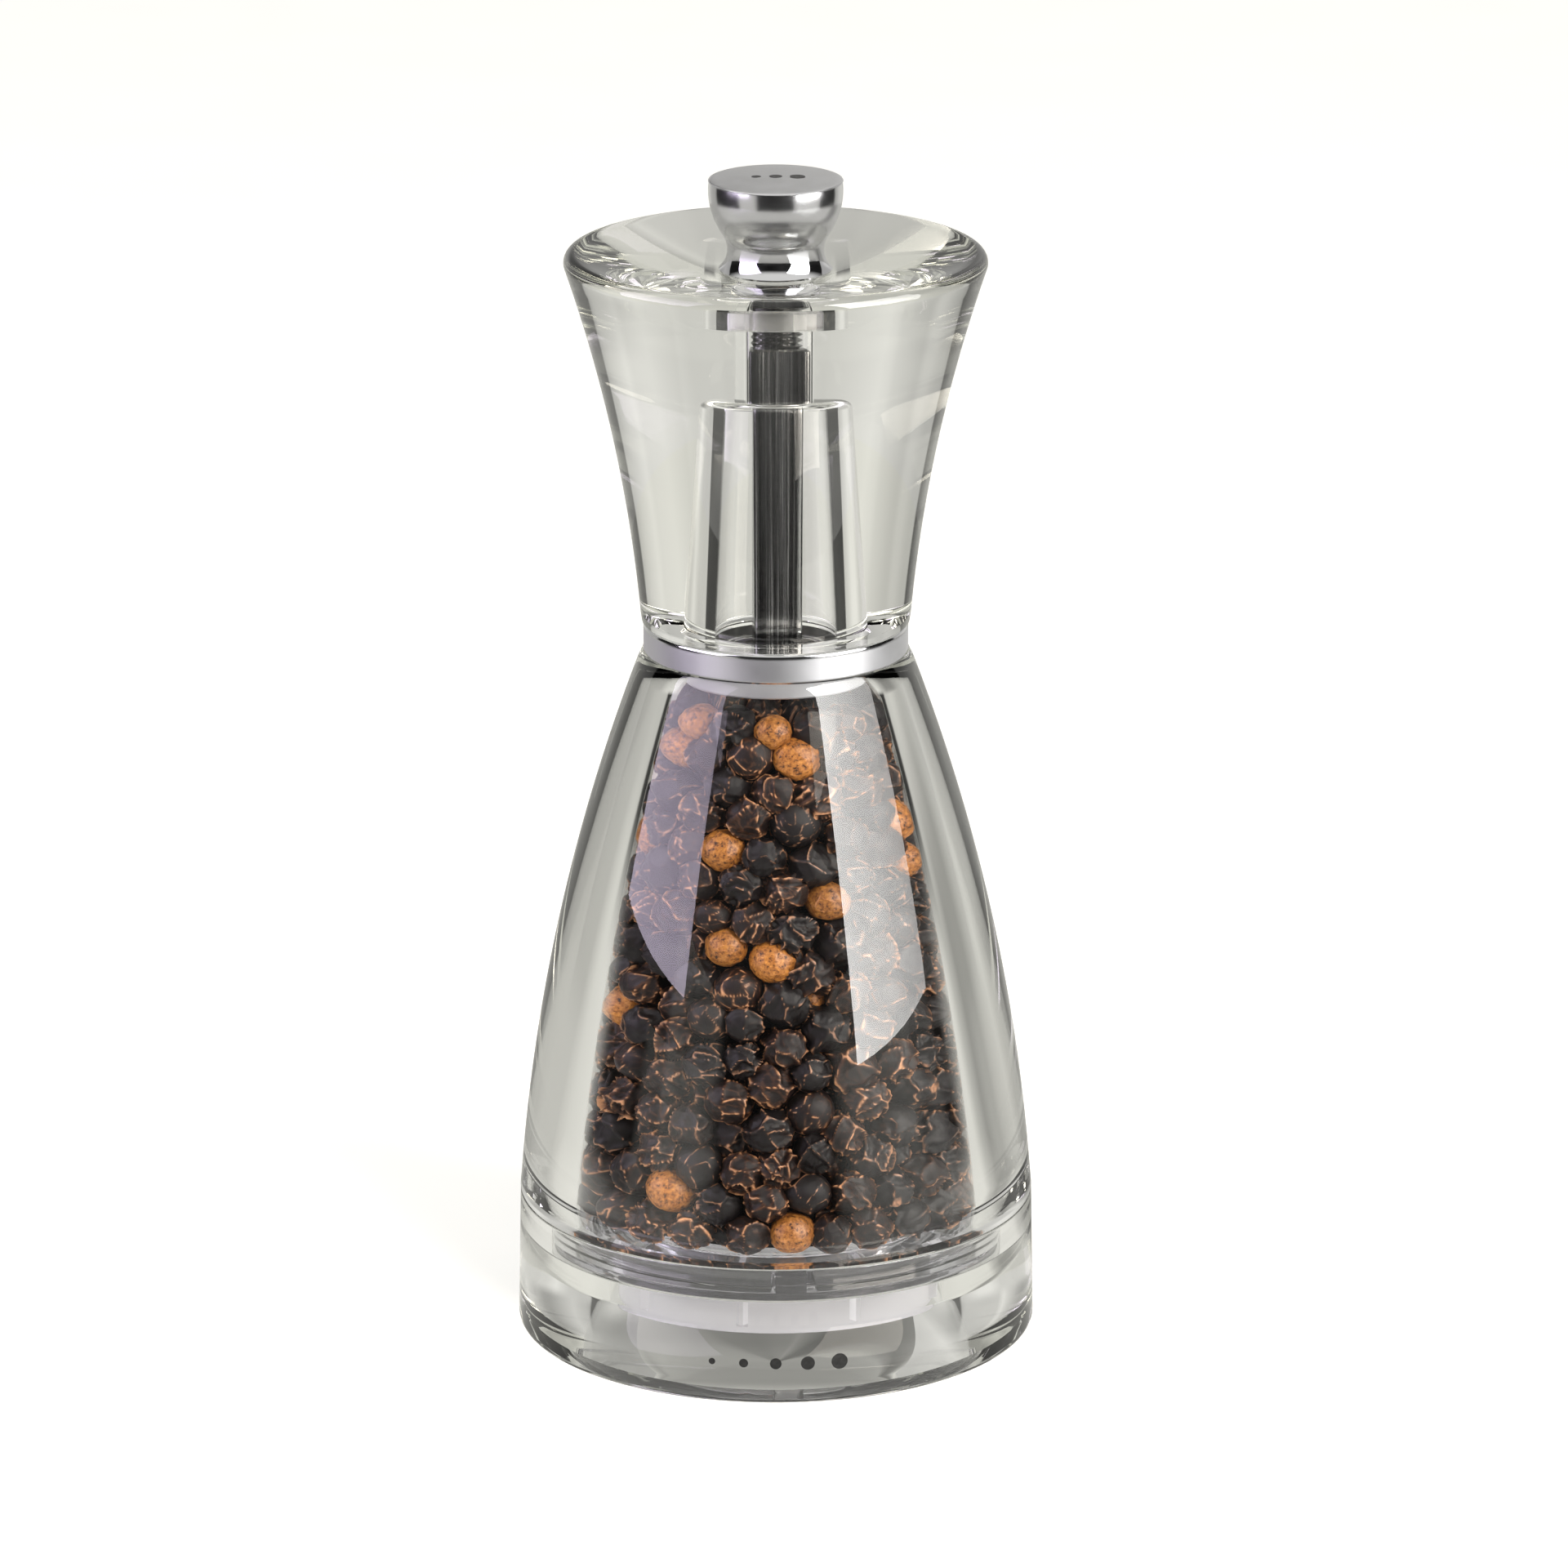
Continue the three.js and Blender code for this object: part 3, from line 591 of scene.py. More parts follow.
def burr_carrier():
    """Translucent cup that holds the outer burr, with ribs below its flange and three keys above it."""
    collar = CHAMBER_FOOT_RADIUS - 0.2
    flange = SOCKET_RADIUS - 0.3
    seat, bore = 16.7, 15.5
    rings = [
        (CUP_RADIUS - 0.4, Z_OUTLET),
        (CUP_RADIUS - 0.1, Z_OUTLET + 0.12),
        (CUP_RADIUS, Z_OUTLET + 0.4),
        (CUP_RADIUS, Z_OUTLET + 0.7),
        (CUP_RADIUS, Z_OUTLET + 1.0, ribs),
        (CUP_RADIUS, Z_SHELF, ribs),
        (CUP_RADIUS + 0.2, Z_SHELF + 0.1),
        (flange - 0.1, Z_SHELF + 0.1),
        (flange, Z_SHELF + 0.2),
        (flange, Z_FLANGE_TOP - 0.1),
        (flange - 0.1, Z_FLANGE_TOP),
        (collar, Z_FLANGE_TOP, keys),
        (collar, KEY_TOP - 0.45, keys),
        (collar, KEY_TOP, short_keys),
        (collar, KEY_TOP + 0.1),
        (collar, Z_FLOOR - 0.15),
        (collar - 0.15, Z_FLOOR),
        (seat + 0.1, Z_FLOOR),
        (seat, Z_FLOOR - 0.1),
        (seat, Z_BURR_SEAT),
        (bore, Z_BURR_SEAT),
        (bore, Z_OUTLET + 0.15),
        (bore + 0.15, Z_OUTLET),
    ]
    piece = clear(revolve("mechanism_cup", rings, CARRIER_PLASTIC))
    stands_for(piece, "stand", "translucent_plastic", "burr_carrier")


def toothed(count, depth, twist):
    """A form that raises saw-like sloping teeth on a ring."""

    def form(angles, radii, heights):
        turn = angles / (2 * pi) + twist * heights
        return radii + depth * np.abs(2 * ((turn * count) % 1) - 1), heights

    return form


def outer_burr():
    """The fixed steel ring: a flange on its seat, and teeth down the inside that narrow to the bottom."""
    teeth = toothed(16, 0.7, 0.012)
    bottom, teeth_top = Z_OUTLET + 0.5, 9.8
    cut = [(8.6 + 1.2 * t, bottom + (teeth_top - bottom) * t, teeth) for t in np.linspace(1, 0, 9)]
    rings = [
        (13.0, bottom),
        (13.2, bottom + 0.2),
        (13.2, Z_BURR_SEAT + 0.1),
        (16.45, Z_BURR_SEAT + 0.1),
        (16.6, Z_BURR_SEAT + 0.25),
        (16.6, Z_FLOOR - 0.2),
        (16.4, Z_FLOOR),
        (13.1, Z_FLOOR),
        (12.2, Z_FLOOR - 1),
        *cut,
    ]
    piece = revolve("fixed_burr", rings, BURR_STEEL, segments=320, sharp=25)
    stands_for(piece, "stand", "burr_steel", "outer_burr")


def inner_burr():
    """The turning steel cone, with teeth on its outside and the spindle's square through it."""
    teeth = toothed(12, 0.7, -0.02)
    foot, tip = level("inner_burr"), level("inner_burr", top=True)
    outline = [(6.8, foot + 0.4), (6.2, 8.6), (4.6, 12.0), (4.35, 13.2)]
    cone = []
    for (r1, z1), (r2, z2) in zip(outline, outline[1:]):
        cone += [(r1 + (r2 - r1) * t, z1 + (z2 - z1) * t, teeth) for t in np.linspace(0, 1, 6)[:-1]]
    hole = SHAFT_SIDE / 2 + 0.05
    rings = [(6.5, foot), *cone, (4.0, tip - 0.5), (3.9, tip), (hole, tip, square), (hole, foot, square)]
    piece = revolve("turning_burr", rings, BURR_STEEL, segments=320, turn=SHAFT_TURN, sharp=25)
    stands_for(piece, "shaft", "burr_steel", "inner_burr")


def thread(angles, radii, heights):
    """Cuts a right-hand thread into a ring."""
    depth = 0.4
    phase = (heights / THREAD_PITCH - angles / (2 * pi)) % 1
    return radii - depth * np.abs(2 * phase - 1), heights


def spindle():
    """Square bar with a round tail below and a threaded stem above."""
    bottom, top = level("spindle"), level("spindle", top=True)
    half = SHAFT_SIDE / 2
    tail, tail_top = 1.9, Z_OUTLET + 1.65
    turns = np.arange(Z_SQUARE_END + 0.25, top - 0.5, THREAD_PITCH / 10)
    rings = [
        (0, bottom),
        (tail - 0.2, bottom),
        (tail, bottom + 0.2),
        (tail, tail_top),
        (half - 0.12, tail_top, square),
        (half, tail_top + 0.15, square),
        *[(half, z, square) for z in np.linspace(20, 100, 9)],
        (half, Z_SQUARE_END - 0.3, square),
        (half - 0.3, Z_SQUARE_END, square),
        (THREAD_RADIUS - 0.3, Z_SQUARE_END + 0.05),
        *[(THREAD_RADIUS, z, thread) for z in turns],
        (1.5, top - 0.35),
        (1.2, top),
        (0, top),
    ]
    piece = revolve("spindle_bar", rings, ALUMINIUM, segments=160, closed=False, turn=SHAFT_TURN, sharp=30)
    stands_for(piece, "shaft", "aluminium", "spindle")


# ---- cap and knob
def cap():
    """Solid clear cap: flared outside, dished top, and a tapered bore that ends in the square drive hole."""
    foot = (NECK_RADIUS + 0.1, Z_COLLAR_TOP + 0.1)
    rim_round = 1.1
    rim = (RIM_RADIUS - rim_round, Z_RIM - rim_round)
    rim_points = circle_points(rim, rim_round, range(-18, 101, 8))
    seat = 4.9
    hole = SHAFT_SIDE / 2 + 0.1
    spigot, spigot_bore = 9.05, 8.1
    roof_round = 1.0
    bore_top = (5.2, Z_BORE_ROOF - roof_round)
    bore_foot = (6.3, Z_BORE_MOUTH + 0.35)
    taper = (bore_foot[0] - bore_top[0]) / (bore_top[1] - bore_foot[1])
    roof_centre = (bore_top[0] - roof_round, bore_top[1])
    rings = [
        (spigot - 0.2, Z_CAP_FOOT),
        (spigot, Z_CAP_FOOT + 0.2),
        (spigot, foot[1] - 0.1),
        (spigot + 0.1, foot[1]),
        (foot[0] - 0.25, foot[1]),
        (foot[0] - 0.05, foot[1] + 0.1),
        *[p for p in arc(foot, rim_points[0], -162, 44) if p[1] > foot[1] + 0.4],
        *rim_points[1:],
        *arc(rim_points[-1], (6.6, Z_DISH), -95, 16),
        (seat + 0.1, Z_DISH),
        (seat, Z_DISH - 0.1),
        (seat, Z_BUSH - 0.1),
        (hole + 1.0, Z_BUSH - 0.1),
        (hole, Z_BUSH - 0.1, square),
        (hole, Z_BORE_ROOF, square),
        *circle_points(roof_centre, roof_round, range(90, -1, -15)),
        (bore_top[0] + taper * EASE, bore_top[1] - EASE),
        (bore_foot[0] - taper * EASE, bore_foot[1] + EASE),
        bore_foot,
        (bore_foot[0] + 0.2, Z_BORE_MOUTH),
        (spigot_bore - 0.2, Z_BORE_MOUTH),
        (spigot_bore, Z_BORE_MOUTH - 0.2),
        (spigot_bore, Z_CAP_FOOT + 0.2),
        (spigot_bore + 0.2, Z_CAP_FOOT),
    ]
    piece = clear(revolve("clear_cap", rings, ACRYLIC, turn=SHAFT_TURN))
    stands_for(piece, "cap", "clear_acrylic", "cap")


def knob_bush():
    """Milky bush that fills the cap's seat round the thread, under the knob."""
    outside, inside = 4.8, 2.15
    corners = [
        (outside, Z_BUSH, 0.15),
        (outside, Z_DISH, 0.15),
        (inside, Z_DISH, 0.15),
        (inside, Z_BUSH, 0.1),
    ]
    piece = clear(revolve("knob_washer", rounded(corners), NYLON, segments=128))
    stands_for(piece, "cap", "nylon", "knob_bush")


KNOB_TOP_RADIUS = 6.8
KNOB_BORE = 3.2
DOT_HEIGHT = 0.03


def knob_side():
    """A flared foot, a waist with a crease, a cup and a crisp edge round the top."""
    foot_edge = (5.9, Z_KNOB + 0.25)
    cup_foot = (5.42, 118.8)
    rings = [
        (0, Z_TOP - 3.4),
        (KNOB_BORE, Z_TOP - 3.4),
        (KNOB_BORE, Z_KNOB),
        (5.62, Z_KNOB),
        (5.82, Z_KNOB + 0.07),
        foot_edge,
        *arc(foot_edge, KNOB_WAIST, -2.6, 12),
        *arc(KNOB_WAIST, cup_foot, -3.2, 4),
        *arc(cup_foot, KNOB_BRIM, 8.0, 16),
        (7.0, Z_TOP - 0.42),
        (6.94, Z_TOP - 0.33),
        (KNOB_TOP_RADIUS, Z_TOP - 0.28),
    ]
    return revolve("knob_side", rings, KNOB_CHROME, segments=192, closed=False, sharp=38)


def knob_crown(radius):
    """Height of the slightly domed top at a radius."""
    return Z_TOP - 0.28 * (radius / KNOB_TOP_RADIUS) ** 2


def dot(centre, across, up, out, radius, steps=24):
    """A thin printed disc, as vertices and faces, on a surface whose outward direction is given."""
    centre, across, up, out = (np.array(v, dtype=float) for v in (centre, across, up, out))
    angles = np.arange(steps) * 2 * pi / steps
    round_it = np.cos(angles)[:, None] * across + np.sin(angles)[:, None] * up
    low, high = centre + round_it * radius, centre + round_it * radius + out * DOT_HEIGHT
    faces = [tuple(range(steps, 2 * steps)), tuple(range(steps - 1, -1, -1))]
    faces += [(i, (i + 1) % steps, steps + (i + 1) % steps, steps + i) for i in range(steps)]
    return np.concatenate([low, high]), faces


def add_dots(piece, dots):
    """Prints dots on a piece, in ink, as closed discs of their own."""
    piece.data.materials.append(INK)
    ink_slot = len(piece.data.materials) - 1
    bm = bmesh.new()
    bm.from_mesh(piece.data)
    for vertices, faces in dots:
        made = [bm.verts.new(v * MM) for v in vertices]
        for face in faces:
            bm.faces.new([made[i] for i in face]).material_index = ink_slot
    bm.to_mesh(piece.data)
    bm.free()


def knob():
    """One closed knob: chromed sides and a satin top, with three printed dots as its mark."""
    side = knob_side()
    top_rings = [(r, knob_crown(r)) for r in np.linspace(0, KNOB_TOP_RADIUS, 18)]
    top = revolve("knob_top", top_rings, SATIN, segments=192, closed=False)
    side.data.materials.append(SATIN)
    both = bmesh.new()
    both.from_mesh(side.data)
    side_faces = len(both.faces)
    both.from_mesh(top.data)
    both.faces.ensure_lookup_table()
    for face in both.faces[side_faces:]:
        face.material_index = 1
    bmesh.ops.remove_doubles(both, verts=both.verts, dist=2e-6)
    bmesh.ops.recalc_face_normals(both, faces=both.faces)
    both.to_mesh(side.data)
    both.free()
    side.data.set_sharp_from_angle(angle=radians(38))
    bpy.data.objects.remove(top)
    dots = []
    for x, radius in ((-2.0, 0.5), (0.0, 0.68), (2.2, 0.86)):
        lift = knob_crown(hypot(x, radius)) - 0.01
        dots.append(dot((x, 0, lift), (1, 0, 0), (0, 1, 0), (0, 0, 1), radius))
    add_dots(side, dots)
    stands_for(side, "knob", "chrome", "knob")


# ---- peppercorns
CORN_RADIUS = 2.2
CORN_SPREAD = 0.17
GOLDEN_SHARE = 0.1
SHAPES = 26
SMOOTH_SHAPES = 5
FILL_DENSITY = 0.75
TOUCHING = 0.985  # share of two corns' radii that their centres stay apart
PACKING_STEPS = 260
SINKING_STEPS = 160
PUSH = 0.42  # share of an overlap that one step takes away
STRAP_PUSH = 0.5
SPINDLE_ROOM = 3.3  # radius that corns leave free round the spindle
SPRING_ROOM = 5.6  # and round the spring, below SPRING_TOP
SPRING_TOP = 28
STRAP_ROOM = 1.3  # gap between a corn and the points in STRAP
CHAMBER_HEIGHTS = np.array([p[1] for p in CHAMBER][::-1])
CHAMBER_RADII = np.array([p[0] for p in CHAMBER][::-1])
HALF_STRAP = [(12.6, 14.6), (9.8, 19.5), (7.0, 24.6), (3.5, 25.0)]  # along one arm of the bridge
STRAP = np.array([(side * x, y, z) for x, z in HALF_STRAP for side in (-1, 1) for y in (-2, 0, 2)])


def chamber_radius(heights):
    return np.interp(heights, CHAMBER_HEIGHTS, CHAMBER_RADII)


def corn_count():
    """How many corns fill the chamber round the spindle."""
    core = 3.2
    slices = np.linspace(Z_FLOOR, Z_FILL_TOP + 1, 200)
    section = np.mean(pi * (chamber_radius(slices) ** 2 - core**2))
    volume = section * (Z_FILL_TOP + 1 - Z_FLOOR)
    return int(FILL_DENSITY * volume / (4 / 3 * pi * CORN_RADIUS**3))


def thrown_in(random, count):
    """Random centres all over the chamber."""
    centres = np.empty((0, 3))
    while len(centres) < count:
        tries = random.uniform((-21, -21, Z_FLOOR + 2), (21, 21, Z_FILL_TOP), (2000, 3))
        spread = np.hypot(tries[:, 0], tries[:, 1])
        centres = np.concatenate([centres, tries[spread < chamber_radius(tries[:, 2]) - 2]])
    return centres[:count]


def off_each_other(centres, reach):
    """Pushes overlapping corns apart."""
    apart = centres[:, None] - centres[None, :]
    far_from_itself = np.eye(len(centres)) * 1e3
    distance = np.linalg.norm(apart, axis=2) + far_from_itself
    overlap = np.clip(TOUCHING * reach - distance, 0, None)
    return centres + PUSH * np.sum(apart * (overlap / distance)[..., None], axis=1)


def off_the_strap(centres, radii):
    """Pushes corns out of the bridge over the burr."""
    apart = centres[:, None] - STRAP[None]
    gap = np.linalg.norm(apart, axis=2)
    inside = np.clip(radii[:, None] + STRAP_ROOM - gap, 0, None)
    return centres + np.sum(apart * (inside / gap)[..., None], axis=1) * STRAP_PUSH


def within_chamber(centres, radii):
    """Keeps corns between the spindle or spring and the wall, and between the floor and the fill's top."""
    spread = np.hypot(centres[:, 0], centres[:, 1])
    core = np.where(centres[:, 2] < SPRING_TOP, SPRING_ROOM, SPINDLE_ROOM) + radii
    wall = chamber_radius(centres[:, 2]) - radii * 1.02 - 0.05
    wanted = np.clip(spread, np.minimum(core, wall), wall)
    centres[:, :2] *= (wanted / spread)[:, None]
    centres[:, 2] = np.clip(centres[:, 2], Z_FLOOR + radii + 0.1, Z_FILL_TOP - radii * 0.4)
    return centres


def packed_corns(random):
    """Centres and radii of corns that fill the chamber: thrown in, then pushed apart until they rest."""
    count = corn_count()
    radii = np.clip(random.normal(CORN_RADIUS, CORN_SPREAD, count), 1.8, 2.6)
    centres = thrown_in(random, count)
    reach = radii[:, None] + radii[None, :]
    for step in range(PACKING_STEPS):
        centres = off_each_other(centres, reach)
        centres[:, 2] -= 0.05 * max(0, 1 - step / SINKING_STEPS)
        centres = within_chamber(off_the_strap(centres, radii), radii)
    return centres, radii


def unit(vectors):
    return vectors / np.linalg.norm(vectors, axis=1)[:, None]


def cube_sphere(cells):
    """Unit sphere of quads, as vertices and faces."""
    bm = bmesh.new()
    bmesh.ops.create_cube(bm, size=2)
    bmesh.ops.subdivide_edges(bm, edges=bm.edges, cuts=cells - 1, use_grid_fill=True)
    vertices = unit(np.tan(np.array([v.co for v in bm.verts]) * pi / 4))
    bm.verts.index_update()
    faces = np.array([[v.index for v in f.verts] for f in bm.faces])
    bm.free()
    return vertices, faces


def cells_over(directions, random, count):
    """Splits a sphere into cells with bent borders: each direction's cell, and how far it is inside it."""
    seeds = unit(random.normal(size=(count, 3)))
    bend = random.normal(size=(3, 3)) * 3
    bent = directions + 0.16 * np.sin(directions @ bend + random.uniform(0, 6, 3))
    distance = np.linalg.norm(bent[:, None] - seeds[None], axis=2)
    first, second = np.argsort(distance, axis=1)[:, :2].T
    squares = np.take_along_axis(distance**2, np.stack([first, second], axis=1), axis=1)
    apart = np.linalg.norm(seeds[second] - seeds[first], axis=1)
    return first, (squares[:, 1] - squares[:, 0]) / (2 * apart)


def near_border(inside, width):
    """1 on the border of a cell, falling to 0 over about the width."""
    return np.exp(-((inside / width) ** 2))


def corn_shape(random, directions, wrinkled):
    """Radius of a dried corn in each direction, and how high on a ridge that direction is, which sets the
    skin's painted highlight and shade.
    """
    most_cells = 26
    cell, inside = cells_over(directions, random, random.integers(10, most_cells))
    _, fine_inside = cells_over(directions, random, 46)
    sunken = random.uniform(0.2, 1.0, most_cells)[cell]
    hollow = sunken * (1 - near_border(inside, 0.12))
    crease = (0.3 + 0.7 * sunken) * near_border(inside, 0.055)
    fine_ridge = near_border(fine_inside, 0.045)
    # Lines along the crests that the skin paints lighter: partly its own colour, partly a painted highlight.
    crest_tone_and_highlight = (0.45 + 0.55 * sunken) * near_border(inside, 0.045)
    lumps = np.sin(directions @ (random.normal(size=(3, 3)) * 1.8) + random.uniform(0, 6, 3)).sum(axis=1) / 3
    radius = 1 + wrinkled * (0.08 * crease - 0.3 * hollow + 0.05 * fine_ridge) + 0.05 * lumps
    return radius, np.clip(crest_tone_and_highlight + 0.4 * fine_ridge * (0.3 + hollow), 0, 1)


def random_turn(random):
    """A rotation matrix that turns a corn any way round."""
    turned_axes, _ = np.linalg.qr(random.normal(size=(3, 3)))
    return turned_axes * np.sign(np.linalg.det(turned_axes))


def kept_inside(points):
    """Presses any part of a corn that would reach into the wall or the floor flat against it."""
    spread = np.hypot(points[:, 0], points[:, 1])
    shrink = np.minimum(1, (chamber_radius(points[:, 2]) - 0.06) / spread)
    heights = np.maximum(points[:, 2], Z_FLOOR + 0.05)
    return np.stack([points[:, 0] * shrink, points[:, 1] * shrink, heights], axis=1)


def corn_piece(name, centres, radii, shapes, faces, random):
    """Joins many corns into one piece, each a turned, stretched copy of one of the shapes."""
    vertices, polygons, skin = [], [], []
    per_corn = len(shapes[0][0])
    for i, (centre, radius) in enumerate(zip(centres, radii)):
        golden = random.random() < GOLDEN_SHARE
        kinds = (0, SMOOTH_SHAPES) if golden else (SMOOTH_SHAPES - 2, SHAPES)
        form, ridge = shapes[random.integers(*kinds)]
        stretch = random.uniform(0.95, 1.05, 3)
        vertices.append(kept_inside((form * stretch * radius) @ random_turn(random).T + centre))
        polygons.append(faces + i * per_corn)
        layer = np.ones((per_corn, 4))
        layer[:, 0] = ridge
        layer[:, 1] = random.uniform(0.55, 1.0) if golden else 0.0
        layer[:, 2] = random.uniform(0.1, 0.9)
        skin.append(layer)
    mesh = quad_mesh(name, np.concatenate(vertices), np.concatenate(polygons))
    colours = mesh.color_attributes.new("skin", "FLOAT_COLOR", "POINT")
    colours.data.foreach_set("color", np.concatenate(skin).ravel())
    stands_for(smooth_piece(mesh, PEPPER), "stand", "peppercorn", "peppercorns")


def peppercorns():
    """Corns with fine meshes by the wall and on top, where they show, and coarser ones in the middle."""
    random = np.random.default_rng(11)
    centres, radii = packed_corns(random)
    depth = chamber_radius(centres[:, 2]) - np.hypot(centres[:, 0], centres[:, 1])
    shown = (depth < 6.0) | (centres[:, 2] > Z_FILL_TOP - 7)
    for kind, chosen, cells, per_piece in (("outer", shown, 15, 70), ("inner", ~shown, 8, 240)):
        directions, faces = cube_sphere(cells)
        shapes = []
        for number in range(SHAPES):
            wrinkled = random.uniform(0.1, 0.25) if number < SMOOTH_SHAPES else random.uniform(0.6, 1.25)
            radius, ridge = corn_shape(random, directions, wrinkled)
            shapes.append((directions * (radius / np.sqrt(np.mean(radius**2)))[:, None], ridge))
        members = np.flatnonzero(chosen)
        for part, start in enumerate(range(0, len(members), per_piece)):
            group = members[start : start + per_piece]
            corn_piece(f"corns_{kind}_{part + 1}", centres[group], radii[group], shapes, faces, random)


# ---- small CAD pieces that stay
STEEL_NODES = [
    "bridge", "bridge_screw_left", "bridge_screw_right", "spring", "spring_washer", "burr_washer",
    "retaining_clip",
]


def dress(node, material):
    """Gives a CAD node a finished material."""
    mesh = nodes[node].data
    mesh.materials.clear()
    mesh.materials.append(material)


def carried_over():
    for node in STEEL_NODES:
        dress(node, SPRING_STEEL)
    dress("shaft_bush", NYLON)
    dress("knob_insert", BRASS)


# ---- stage
def make_camera():
    """A long lens that looks down at the mill by 17 degrees."""
    data = bpy.data.cameras.new("camera")
    data.sensor_width = 36
    data.lens = 193.9
    data.clip_start = 0.05
    data.clip_end = 30
    holder = bpy.data.objects.new("camera", data)
    holder.location = (0.00086, -0.852, 0.320)
    holder.rotation_euler = (radians(90 - 17.007), 0, 0)
    scene.collection.objects.link(holder)
    scene.camera = holder


# How bright the surroundings look through the mill, as (position, grey level) stops. Position 0 is to the
# mill's left, 0.5 behind it and 1 to its right.
TABLE_BEHIND = [
    (0.03, 0.8), (0.09, 0.73), (0.14, 0.52), (0.3, 0.5), (0.5, 0.56), (0.66, 0.58), (0.72, 0.68), (0.79, 0.5),
    (0.84, 0.33), (0.9, 0.31), (0.93, 0.52), (0.95, 0.78),
]
HORIZON = [
    (0.12, 0.55), (0.2, 0.6), (0.3, 0.82), (0.4, 0.66), (0.65, 0.64), (0.75, 0.84), (0.83, 0.82),
    (0.92, 0.58),
]
ABOVE_HORIZON = [
    (0.06, 0.3), (0.1, 0.5), (0.17, 0.62), (0.28, 0.42), (0.36, 0.3), (0.42, 0.3), (0.5, 0.45), (0.59, 0.66),
    (0.63, 0.8), (0.68, 0.6), (0.9, 0.56), (0.95, 0.3),
]
TABLE_FRONT = 0.74
DARK = 0.045
BACK_EDGE = (0.5, 0.54)  # cosine, from straight back, over which the far backdrop goes from dark to lit


def map_range(tree, value, low, high, low_result=0.0, high_result=1.0, kind="SMOOTHSTEP"):
    """The low result at the low value and below, the high result at the high value and above."""
    ends = {"From_Min": low, "From_Max": high, "To_Min": low_result, "To_Max": high_result}
    made = add_node(tree, "ShaderNodeMapRange", interpolation_type=kind, Value=value, **ends)
    return made.outputs["Result"]


def combine(tree, operation, first, second):
    """A sum, product or other result of two values, each a number or another node's output."""
    node = add_node(tree, "ShaderNodeMath", operation=operation)
    for value, socket in zip((first, second), node.inputs):
        if isinstance(value, float):
            socket.default_value = value
        else:
            tree.links.new(value, socket)
    return node.outputs["Value"]


def mixed(tree, factor, first, second):
    """The first value at factor 0 and the second at 1."""
    difference = combine(tree, "SUBTRACT", second, first)
    return combine(tree, "ADD", first, combine(tree, "MULTIPLY", factor, difference))


def floor_plane(material):
    """A wide square just under the mill."""
    reach, below = 12.0, -0.0002
    corners = [(x * reach, y * reach, below) for x, y in ((-1, -1), (1, -1), (1, 1), (-1, 1))]
    mesh = bpy.data.meshes.new("floor")
    mesh.from_pydata(corners, [], [(0, 1, 2, 3)])
    mesh.materials.append(material)
    plane = bpy.data.objects.new("floor", mesh)
    scene.collection.objects.link(plane)


def table_glow(shader):
    """How bright the table is in reflections and through the acrylic, by direction and distance."""
    tree = shader.tree
    split = shader.node("ShaderNodeSeparateXYZ", Vector=shader.place)
    distance = shader.node("ShaderNodeVectorMath", operation="LENGTH", Vector=shader.place).outputs["Value"]
    facing = combine(tree, "DIVIDE", split.outputs["Y"], distance)
    aside = combine(tree, "DIVIDE", split.outputs["X"], distance)
    back = map_range(tree, facing, -0.1, 0.1)
    around = map_range(tree, aside, -1.0, 1.0, kind="LINEAR")
    far = map_range(tree, distance, 0.22, 0.45)
    table_back = mixed(tree, far, colour_ramp(tree, around, TABLE_BEHIND), colour_ramp(tree, around, HORIZON))
    brightness = mixed(tree, back, TABLE_FRONT, table_back)
    near_edge = map_range(tree, facing, 0.22, 0.36, DARK)
    behind = mixed(tree, far, near_edge, map_range(tree, facing, *BACK_EDGE, DARK))
    before_sides = map_range(tree, facing, -0.88, -0.8, DARK)
    past_left = map_range(tree, facing, -0.46, -0.38, 1.0, 0.0)
    past_right = map_range(tree, facing, -0.22, -0.1, 1.0, 0.0)
    past_sides = mixed(tree, map_range(tree, aside, -0.1, 0.1), past_left, past_right)
    sides = combine(tree, "MULTIPLY", before_sides, past_sides)
    # Within about 0.1 m the table is painted lit, and right under the mill it carries a painted shadow.
    near = map_range(tree, distance, 0.1, 0.15, 1.0, DARK)
    under = map_range(tree, distance, 0.004, 0.036, 0.36, 1.0)
    lit = combine(tree, "MAXIMUM", combine(tree, "MAXIMUM", behind, sides), near)
    return combine(tree, "MULTIPLY", combine(tree, "MULTIPLY", lit, under), brightness)


def make_floor():
    """A table that is white to the camera, and grey or dark in reflections and through the acrylic."""
    shader = Shader("floor", Roughness=0.9, Emission_Color=(1, 1, 0.985, 1), Emission_Strength=0.36)
    shader.principled.inputs["Specular IOR Level"].default_value = 0.0
    pale = (0.3, (0.81, 0.81, 0.80)), (0.7, (0.83, 0.83, 0.82))
    shader.vary("Base Color", shader.noise(40, 2), *pale)
    grey = shader.node("ShaderNodeEmission", Color=(1, 0.99, 0.92, 1), Strength=table_glow(shader))
    path = shader.node("ShaderNodeLightPath")
    mix = shader.node("ShaderNodeMixShader")
    links = shader.tree.links
    links.new(path.outputs["Is Glossy Ray"], mix.inputs[0])
    links.new(shader.principled.outputs["BSDF"], mix.inputs[1])
    links.new(grey.outputs["Emission"], mix.inputs[2])
    links.new(mix.outputs["Shader"], shader.tree.nodes["Material Output"].inputs["Surface"])
    floor_plane(shader.material)


def way_to(azimuth, elevation):
    """Direction from the mill, in degrees. Azimuth 0 is the camera's side and 90 the right."""
    a, e = radians(azimuth), radians(elevation)
    return Vector((sin(a) * cos(e), -cos(a) * cos(e), sin(e)))


